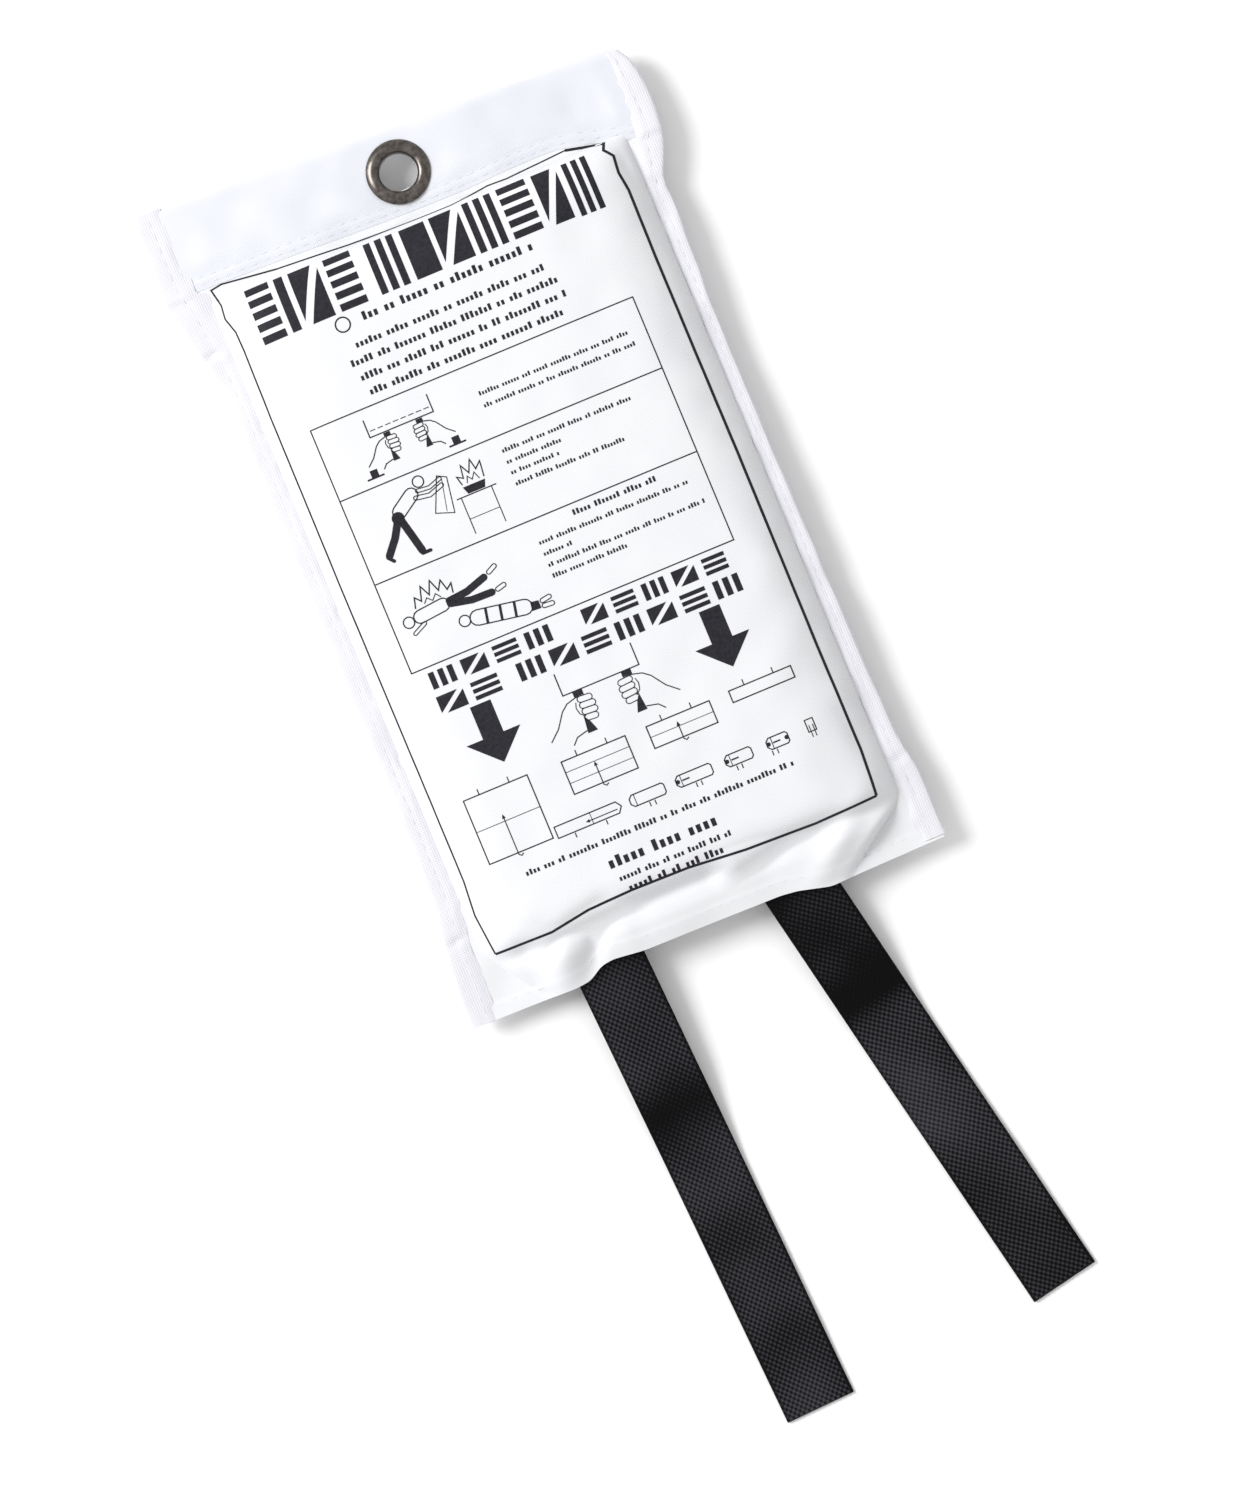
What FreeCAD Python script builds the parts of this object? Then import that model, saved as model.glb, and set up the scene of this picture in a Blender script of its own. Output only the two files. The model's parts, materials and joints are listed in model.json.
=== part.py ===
"""A fire blanket folded in a soft pouch, lying on its back.

The frame is in millimetres. The origin is on the eyelet's axis, in the plane of the seam where the two panels meet.
+X is to the right of the printed front, +Y is towards the header's top edge and +Z comes out of the printed front.
"""

import FreeCAD, Part
import math
import os
import re
import Sketcher
from FreeCAD import Placement, Rotation, Vector

# Every driving dimension, in the order in which the pieces use them.
SIZES = {
    "cloth": 0.6,  # thickness of the pouch's coated fabric
    "lie_depth": 9.0,  # from the seam plane, where the panels meet all round, down to the surface underneath
    # A place along Y where the pouch's outline or height changes, and the outline's left and right edge there.
    "tuck_place": -13.5,  # the panels' upper edges, tucked into the header band
    "tuck_left": -85.4,
    "tuck_right": 90.4,
    "seam_place": -21.0,  # just below the header band
    "seam_left": -84.8,
    "seam_right": 88.6,
    "rise_place": -27.0,  # part of the way up the folded blanket's upper end
    "rise_left": -84.1,
    "rise_right": 87.2,
    "crest_place": -35.0,  # the panels are at their full height from here down
    "crest_left": -83.2,
    "crest_right": 85.4,
    "waist_place": -54.0,
    "waist_left": -80.6,
    "waist_right": 81.6,
    "skirt_place": -232.0,
    "skirt_left": -80.6,
    "skirt_right": 80.6,
    "mouth_place": -275.0,  # the open lower end
    "mouth_left": -87.0,
    "mouth_right": 85.0,
    "edge_inset": 1.0,  # how far the panels' edges lie inside the outline, under the binding
    # The panels' section round the folded blanket: half widths, and shares of the panel's full height there.
    "root_half": 73.5,
    "low_half": 72.0,
    "low_share": 0.345,
    "shoulder_half": 69.0,
    "shoulder_share": 0.745,
    "crown_half": 62.0,
    "front_crown_share": 0.94,
    "back_crown_share": 1.0,
    "crown_rise": 11.3,  # from the seam to the middle of the front panel
    "front_steepness": 0.68,  # share of the full height that is reached at rise_place
    "back_steepness": 0.94,
    # The header band
    "band_left": -86.0,
    "band_top_left": 20.0,
    "band_corner": 82.4,
    "band_top_right": 11.0,
    "band_bulge": 89.0,
    "band_bulge_place": 1.0,
    "band_right": 87.8,
    "band_low_right": -20.0,
    "band_low_left": -15.0,
    "band_left_low": -84.2,
    "slot_left": -9.0,  # the top of the slot that takes the panels
    "slot_right": -13.0,
    # Bindings
    "binding_top_left": 19.4,
    "binding_top_left_edge": -87.0,
    "binding_top_right": 9.5,
    "binding_top_right_edge": 85.0,
    "binding_bulge_edge": 90.0,
    "binding_reach": 75.0,  # half width at which the binding's inner edge lies beside the body
    "binding_header_left": 78.0,
    "binding_header_right": 81.0,
    "binding_step_left": -15.5,  # where the binding leaves the header band
    "binding_step_right": -20.5,
    # Eyelet
    "eyelet_bore": 6.5,
    "eyelet_wall": 0.5,
    "eyelet_fit": 0.1,
    "flange_reach": 10.9,
    "flange_thick": 1.6,
    "washer_reach": 10.4,
    "washer_thick": 0.8,
    "curl_reach": 8.4,
    "curl_thick": 0.6,
    # Folded blanket
    "pack_half": 69.5,
    "pack_top_place": -28.0,
    "pack_end_place": -256.0,
    "pack_lift": 1.35,  # the pack's underside above the surface
    "pack_thick": 16.25,
    "fold_radius": 7.5,
    # Pull tapes
    "tape_width": 25.0,
    "tape_thick": 1.3,
    "left_tape_place": -36.5,
    "left_tape_splay": 2.8,
    "right_tape_place": 32.3,
    "right_tape_splay": 11.4,
    "tape_hinge": 6.2,  # distance of the hinge line outside the mouth
    "tape_gap": 0.4,
    # Stitches
    "stitch_length": 3.0,
    "stitch_pitch": 4.2,
    "stitch_width": 0.5,
    "stitch_height": 0.2,
    "header_row_left": -77.0,
    "header_row_right": 80.0,
    "header_row_lift": 1.7,  # the lower header row above the band's lower edge
    "header_row_gap": 2.5,  # between the two header rows
    "hem_width": 5.0,  # the mouth's hems, from the lip to their row of stitches
    "blanket_hem_width": 10.5,  # the blanket's hem, from the end of the pack to its row of stitches
    "box_margin": 3.0,  # from a tape's sides and its sewn end to the box of stitches
    "box_place": 29.0,  # from the mouth inwards to the near side of the box
}

STATIONS = ["tuck", "seam", "rise", "crest", "waist", "skirt", "mouth"]

# The rows down the header band's two sides: where each begins and ends.
HEADER_SIDE_ROWS = {"left": [(-82.6, 17.5), (-81.8, -13.5)], "right": [(85.6, 1.0), (85.7, -18.5)]}

# Where the blanket's hem shows its stitches along its end: beside and between the tapes.
BLANKET_HEM_SPANS = [(-60.0, -52.0), (-20.0, 12.0), (46.0, 60.0)]

# How much of its shorter run each arc of a tape's path takes up.
ARC_SHARE = 0.45

# The tapes' centre lines, each in its own upright plane: distance outwards from the mouth, and height above the
# surface underneath.
LEFT_TAPE_ROUTE = [
    (-57.0, 18.25), (-38.0, 18.3), (-16.5, 18.25), (-2.0, 10.8), (21.0, 7.7), (42.0, 5.9), (60.0, 2.5),
    (80.0, 0.75), (121.0, 1.2), (163.5, 0.65),
]
RIGHT_TAPE_ROUTE = [
    (-57.0, 18.25), (-38.0, 18.3), (-16.5, 18.25), (-2.0, 10.6), (16.0, 7.3), (33.0, 4.9), (49.0, 1.6),
    (74.0, 0.8), (116.0, 1.5), (159.0, 0.65),
]

doc = FreeCAD.newDocument("FireBlanket")
sheet = doc.addObject("Spreadsheet::Sheet", "Sizes")
for row, (alias, value) in enumerate(SIZES.items(), 1):
    sheet.set(f"A{row}", alias)
    sheet.set(f"B{row}", str(value))
    sheet.setAlias(f"B{row}", alias)
doc.recompute()


def size(alias):
    """A driving dimension, as the sheet holds it."""
    return float(getattr(sheet, alias))


def bound(formula):
    """A formula on the sheet's aliases, as FreeCAD's expressions write it."""
    return re.sub(r"[a-z_]+", lambda word: f"Sizes.{word[0]}", formula)


# Making sketches and features

def new_body(label):
    body = doc.addObject("PartDesign::Body", label)
    body.Label = label
    return body


def new_sketch(body, name, plane, offset="0"):
    """An empty sketch on one of the body's origin planes, moved along that plane's normal."""
    sketch = body.newObject("Sketcher::SketchObject", name)
    origin_plane = next(f for f in body.Origin.OriginFeatures if f.Role == plane)
    sketch.AttachmentSupport = [(origin_plane, "")]
    sketch.MapMode = "FlatFace"
    sketch.setExpression("AttachmentOffset.Base.z", bound(offset))
    return sketch


def polygon(sketch, corners):
    """A closed outline whose corners are pairs of formulas, each held by two dimensions from the origin."""
    count = len(corners)
    rough = 50  # the radius of the ring that the corners start from, before their dimensions place them
    turns = [2 * math.pi * i / count for i in range(count)]
    start = [Vector(rough * math.cos(turn), rough * math.sin(turn), 0) for turn in turns]
    for i in range(count):
        sketch.addGeometry(Part.LineSegment(start[i], start[(i + 1) % count]), False)
    for i in range(count):
        sketch.addConstraint(Sketcher.Constraint("Coincident", i, 2, (i + 1) % count, 1))
    for i, (across, up) in enumerate(corners):
        for kind, formula in (("DistanceX", across), ("DistanceY", up)):
            number = sketch.addConstraint(Sketcher.Constraint(kind, -1, 1, i, 1, 1.0))
            sketch.setExpression(f"Constraints[{number}]", bound(formula))
    return sketch


def circle(sketch, radius):
    """A circle on the sketch's origin."""
    sketch.addGeometry(Part.Circle(Vector(0, 0, 0), Vector(0, 0, 1), 5), False)
    sketch.addConstraint(Sketcher.Constraint("Coincident", 0, 3, -1, 1))
    number = sketch.addConstraint(Sketcher.Constraint("Radius", 0, 5.0))
    sketch.setExpression(f"Constraints[{number}]", bound(radius))
    return sketch


def loft(body, sections):
    """A solid through closed sections that all have the same number of corners."""
    feature = body.newObject("PartDesign::AdditiveLoft", body.Label + "_loft")
    feature.Profile = sections[0]
    feature.Sections = sections[1:]
    feature.Ruled = True
    return feature


def pad(body, sketch, length, both_ways=False):
    feature = body.newObject("PartDesign::Pad", sketch.Name + "_pad")
    feature.Profile = sketch
    feature.Midplane = both_ways
    feature.setExpression("Length", bound(length))
    return feature


def cut(body, sketch, length):
    """A pocket that reaches the same way to both sides of its sketch; it has to take material away."""
    doc.recompute()
    before = body.Shape.Volume
    feature = body.newObject("PartDesign::Pocket", sketch.Name + "_pocket")
    feature.Profile = sketch
    feature.Midplane = True
    feature.setExpression("Length", bound(length))
    doc.recompute()
    if body.Shape.Volume > before - 1:
        raise RuntimeError(f"{feature.Name} cut nothing")
    return feature


# Pouch

def panel(label, stations, upwards):
    """One of the pouch's two panels: a single thickness of fabric, flat at its edges and raised over the pack.

    upwards is True for the front panel, which rises from the seam, and False for the back panel, which drops from it.
    """
    side, way = ("front", "+") if upwards else ("back", "-")
    other = "-" if upwards else "+"
    full = "crown_rise" if upwards else "(lie_depth - cloth)"
    shares = [("root_half", "0", "cloth"), ("low_half", "low_share", "cloth"),
              ("shoulder_half", "shoulder_share", "cloth"), ("crown_half", f"{side}_crown_share", "0")]
    body = new_body(label)
    sections = []
    for station in stations:
        rise = {"tuck": "0", "seam": "0", "rise": f"{side}_steepness"}.get(station, "1")
        flat = f"0 {way} cloth"
        outer = [(f"{station}_left + edge_inset", flat, "0")]
        outer += [(f"0 - {half}", f"{flat} {way} {share} * {rise} * {full}", inset) for half, share, inset in shares]
        outer += [("0", f"{flat} {way} {rise} * {full}", "0")]
        outer += [(half, f"{flat} {way} {share} * {rise} * {full}", f"0 - {inset}")
                  for half, share, inset in reversed(shares)]
        outer += [(f"{station}_right - edge_inset", flat, "0")]
        inner = [(f"{across} + {inset}", f"{height} {other} cloth") for across, height, inset in reversed(outer)]
        sketch = new_sketch(body, f"{label}_{station}", "XZ_Plane", f"0 - {station}_place")
        sections.append(polygon(sketch, [corner[:2] for corner in outer] + inner))
    loft(body, sections)
    return body


def header_band():
    """The doubled band across the top, with a slot in its lower edge for the panels and a hole for the eyelet."""
    body = new_body("header_band")
    outline = polygon(new_sketch(body, "band_outline", "XY_Plane"), [
        ("band_left", "band_top_left"), ("band_corner", "band_top_right"), ("band_bulge", "band_bulge_place"),
        ("tuck_right - edge_inset", "tuck_place"), ("band_right", "band_low_right"),
        ("band_left_low", "band_low_left"),
    ])
    pad(body, outline, "4 * cloth", both_ways=True)
    slot = polygon(new_sketch(body, "panel_slot", "XY_Plane"), [
        ("2 * band_left", "slot_left"), ("2 * band_bulge", "slot_right"),
        ("2 * band_bulge", "2 * band_low_right"), ("2 * band_left", "2 * band_low_right"),
    ])
    cut(body, slot, "2 * cloth")
    hole = circle(new_sketch(body, "eyelet_hole", "XY_Plane"), "eyelet_bore + eyelet_wall + eyelet_fit")
    cut(body, hole, "10 * cloth")
    return body


def binding(label, stations):
    """A strip folded round one side's edges; each station is its place, outer edge, inner edge and inner half gap."""
    body = new_body(label)
    inward = "+" if label.startswith("left") else "-"
    sections = []
    for number, (place, edge, inner, gap) in enumerate(stations):
        outside = f"({gap} + cloth)"
        sketch = new_sketch(body, f"{label}_{number}", "XZ_Plane", f"0 - {place}")
        sections.append(polygon(sketch, [
            (edge, outside), (inner, outside), (inner, gap), (f"{edge} {inward} cloth", gap),
            (f"{edge} {inward} cloth", f"0 - {gap}"), (inner, f"0 - {gap}"),
            (inner, f"0 - {outside}"), (edge, f"0 - {outside}"),
        ]))
    loft(body, sections)
    return body


def eyelet():
    """The eyelet: a barrel with a bevelled front flange, and the washer that its rear end is curled over."""
    front = "2 * cloth"
    rear = "0 - 2 * cloth"
    curl = f"{rear} - washer_thick"
    wall = "eyelet_bore + eyelet_wall"
    barrel = new_body("eyelet_barrel")
    turned = polygon(new_sketch(barrel, "barrel_profile", "XZ_Plane"), [
        ("eyelet_bore", f"{curl} - curl_thick"), ("curl_reach", f"{curl} - curl_thick"), ("curl_reach", curl),
        (wall, curl), (wall, front), ("flange_reach", front), ("flange_reach", f"{front} + 0.3 * flange_thick"),
        ("flange_reach - 0.9 * flange_thick", f"{front} + flange_thick"),
        ("eyelet_bore + 0.7 * flange_thick", f"{front} + flange_thick"),
        ("eyelet_bore", f"{front} + 0.5 * flange_thick"),
    ])
    washer = new_body("eyelet_washer")
    around = f"{wall} + eyelet_fit"
    ring = polygon(new_sketch(washer, "washer_profile", "XZ_Plane"), [
        (around, curl), ("washer_reach", curl), ("washer_reach", rear), (around, rear),
    ])
    for body, profile in ((barrel, turned), (washer, ring)):
        feature = body.newObject("PartDesign::Revolution", body.Label + "_turned")
        feature.Profile = profile
        feature.ReferenceAxis = (profile, ["V_Axis"])
        feature.Angle = 360
    return [barrel, washer]


# Blanket

def folded_blanket():
    """The whole blanket, folded flat: its folds make every long edge round."""
    body = new_body("folded_blanket")
    outline = polygon(new_sketch(body, "pack_outline", "XY_Plane", "pack_lift - lie_depth"), [
        ("0 - pack_half", "pack_top_place"), ("pack_half", "pack_top_place"),
        ("pack_half", "pack_end_place"), ("0 - pack_half", "pack_end_place"),
    ])
    block = pad(body, outline, "pack_thick")
    doc.recompute()
    folds = body.newObject("PartDesign::Fillet", "folds")
    folds.Base = (block, [f"Edge{i}" for i in range(1, len(block.Shape.Edges) + 1)])
    folds.setExpression("Radius", bound("fold_radius"))
    return body


def path_of(route):
    """Straight runs joined by tangent arcs, each arc as large as its two runs allow."""
    points = [Vector(0, -outwards, height - size("lie_depth")) for outwards, height in route]
    edges, radii, at = [], [], points[0]
    for before, corner, after in zip(points, points[1:], points[2:]):
        into, out = (corner - before), (after - corner)
        shorter = min(into.Length, out.Length)
        turn = into.getAngle(out)
        into.normalize()
        out.normalize()
        reach = ARC_SHARE * shorter
        begin, end = corner - into * reach, corner + out * reach
        bisector = (out - into).normalize()
        radius = reach / math.tan(turn / 2)
        middle = corner + bisector * (radius / math.cos(turn / 2) - radius)
        edges += [Part.LineSegment(at, begin).toShape(), Part.Arc(begin, middle, end).toShape()]
        radii.append(radius)
        at = end
    edges.append(Part.LineSegment(at, points[-1]).toShape())
    return Part.Wire(edges), radii


def placed(label, shape, placement=Placement()):
    """A piece whose shape is made here from the sheet's sizes."""
    feature = doc.addObject("Part::Feature", label)
    feature.Label = label
    feature.Shape = shape
    feature.Placement = placement
    return feature


def tape_place(side):
    """Where a tape's own plane stands: on the middle of the tape at the mouth, turned outwards."""
    middle = Vector(size(f"{side}_tape_place"), size("mouth_place"), 0)
    return Placement(middle, Rotation(Vector(0, 0, 1), size(f"{side}_tape_splay")))


def pull_tape(side, route):
    """A tape in two pieces, which meet at the line where it bends when it is lifted."""
    wide, thick = size("tape_width"), size("tape_thick")
    path, radii = path_of(route)
    start = Vector(0, -route[0][0], route[0][1] - size("lie_depth"))
    corners = [start + Vector(x * wide / 2, 0, z * thick / 2) for x, z in ((-1, -1), (1, -1), (1, 1), (-1, 1))]
    section = Part.makePolygon(corners + corners[:1])
    whole = path.makePipeShell([section], True, False)
    expected = wide * thick * path.Length
    if abs(whole.Volume - expected) > 0.02 * expected:
        raise RuntimeError(f"the {side} tape's volume is {whole.Volume:.0f} and its path gives {expected:.0f}")
    print(f"{side} tape: {path.Length:.1f} mm long, radii", [round(r) for r in radii])
    gap = size("tape_gap")
    tall = 2 * size("lie_depth")
    slit = Part.makeBox(2 * wide, gap, 2 * tall, Vector(-wide, -size("tape_hinge") - gap / 2, -tall))
    sewn, free = sorted(whole.cut(slit).Solids, key=lambda piece: -piece.CenterOfMass.y)
    return [placed(f"{side}_tape_sewn_end", sewn, tape_place(side)),
            placed(f"{side}_tape_free_run", free, tape_place(side))]


# Stitches

def stitches_along(start, end, inset=1.5):
    """One straight row of stitches that lie on the line from start to end."""
    run = end - start
    pitch, long = size("stitch_pitch"), size("stitch_length")
    count = max(1, int((run.Length - 2 * inset + pitch - long) / pitch))
    along = Vector(run).normalize()
    across = Vector(-along.y, along.x, 0).normalize()
    turned = Rotation(along, across, along.cross(across), "XYZ")
    first = (run.Length - (count - 1) * pitch - long) / 2
    row = []
    for i in range(count):
        stitch = Part.makeBox(long, size("stitch_width"), size("stitch_height"))
        stitch.translate(Vector(first + i * pitch, -size("stitch_width") / 2, 0))
        stitch.Placement = Placement(start, turned) * stitch.Placement
        row.append(stitch)
    return row


def stitched(label, rows, placement=Placement()):
    """All the stitches of one seam; each row is a list of points that the thread goes through."""
    stitches = [stitch for row in rows for a, b in zip(row, row[1:]) for stitch in stitches_along(a, b)]
    return placed(label, Part.makeCompound(stitches), placement)


def header_stitching():
    """Two parallel rows across the header band, on its front and on its back."""
    cloth = size("cloth")
    rows = []
    for height in (2 * cloth, -2 * cloth - size("stitch_height")):
        for lift in (size("header_row_lift"), size("header_row_lift") + size("header_row_gap")):
            rows.append([Vector(size("header_row_left"), size("band_low_left") + lift, height),
                         Vector(size("header_row_right"), size("band_low_right") + lift, height)])
    return stitched("header_stitching", rows)


def side_stitching(side, stations):
    """A row down the middle of one binding, on its front and on its back."""
    cloth = size("cloth")
    reach = size("binding_reach")
    thread = size("stitch_height")
    rows = []
    for height in (2 * cloth, -2 * cloth - thread):
        row = []
        for station in stations:
            edge = size(f"{station}_{side}")
            row.append(Vector((edge + math.copysign(reach, edge)) / 2, size(f"{station}_place"), height))
        rows.append(row)
    for height in (3 * cloth, -3 * cloth - thread):
        rows.append([Vector(x, y, height) for x, y in HEADER_SIDE_ROWS[side]])
    return stitched(f"{side}_side_stitching", rows)


def hem_stitching():
    """Rows just inside the mouth's two lips: on the front panel's outside and on the back panel's inside."""
    place = size("mouth_place") + size("hem_width")
    flat = size("cloth")
    rise = size("crown_rise")
    half = size("crown_half")
    crown = flat + size("front_crown_share") * rise
    front = [Vector(-half, place, crown), Vector(0, place, flat + rise), Vector(half, place, crown)]
    inside = size("cloth") - size("lie_depth")
    half -= size("stitch_length")
    back = [Vector(-half, place, inside), Vector(half, place, inside)]
    return [stitched("front_hem_stitching", [front]), stitched("back_hem_stitching", [back])]


def blanket_hem_stitching():
    """The blanket's own hem, where its outer ply shows it beside and between the tapes."""
    top = size("pack_lift") + size("pack_thick") - size("lie_depth")
    place = size("pack_end_place") + size("blanket_hem_width")
    rows = [[Vector(start, place, top), Vector(end, place, top)] for start, end in BLANKET_HEM_SPANS]
    return stitched("blanket_hem_stitching", rows)


def tape_stitching(side, route):
    """A box with a cross in it, which holds the tape's sewn end on the blanket."""
    top = route[1][1] - size("lie_depth") + size("tape_thick") / 2
    half = size("tape_width") / 2 - size("box_margin")
    upper, lower = -route[0][0] - size("box_margin"), size("box_place")
    box = [Vector(-half, upper, top), Vector(half, upper, top), Vector(half, lower, top), Vector(-half, lower, top)]
    middle = Vector(0, (upper + lower) / 2, top)
    rows = [box + box[:1]]
    for corner in box:
        spoke = corner - middle
        rows.append([middle + spoke * 0.1, middle + spoke * 0.7])
    return stitched(f"{side}_tape_stitching", rows, tape_place(side))


BODY_GAP = "cloth"
HEADER_GAP = "2 * cloth"


def binding_stations(side):
    """The binding's stations from the header's top edge down to the mouth."""
    sign = "0 - " if side == "left" else ""
    header_inner = f"{sign}binding_header_{side}"
    inner = f"{sign}binding_reach"
    top = [(f"binding_top_{side}", f"binding_top_{side}_edge", header_inner, HEADER_GAP)]
    if side == "right":
        top += [("band_bulge_place", "binding_bulge_edge", header_inner, HEADER_GAP)]
    top += [("tuck_place", f"tuck_{side}", header_inner, HEADER_GAP)]
    top += [(f"binding_step_{side}", f"tuck_{side} * 0.5 + seam_{side} * 0.5", header_inner, HEADER_GAP)]
    low = [(f"{station}_place", f"{station}_{side}", inner, BODY_GAP) for station in STATIONS[2:]]
    return top + low


pieces = [panel("front_panel", STATIONS, True), panel("back_panel", STATIONS, False), header_band()]
pieces += [binding("left_side_binding", binding_stations("left"))]
pieces += [binding("right_side_binding", binding_stations("right"))]
pieces += eyelet()
pieces += [header_stitching()]
pieces += [side_stitching(side, STATIONS[3:]) for side in ("left", "right")]
pieces += hem_stitching()
pieces += [folded_blanket(), blanket_hem_stitching()]
for side, route in (("left", LEFT_TAPE_ROUTE), ("right", RIGHT_TAPE_ROUTE)):
    pieces += pull_tape(side, route)
    pieces += [tape_stitching(side, route)]
doc.recompute()

for thing in doc.Objects:
    if {"Invalid", "Error"} & set(thing.State):
        raise RuntimeError(f"{thing.Name} failed: {thing.State}")
for piece in pieces:
    if piece.Shape.isNull() or not piece.Shape.isValid():
        raise RuntimeError(f"{piece.Label} has no valid shape")

os.makedirs("parts", exist_ok=True)
for piece in pieces:
    piece.Shape.exportStep(f"parts/{piece.Label}.step")
    print(f"{piece.Label}: {len(piece.Shape.Solids)} solid(s), {piece.Shape.Volume:.0f} mm3")
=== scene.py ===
"""The looks of a fire blanket in a soft pouch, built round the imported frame.

Shapes are worked out in millimetres and turned into metres as each mesh is made. The origin is on the
eyelet's axis in the plane of the seam. +X is to the right of the printed front, +Y towards the header and
+Z out of the print.
"""

import json
import math
import random
from collections import namedtuple

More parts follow.
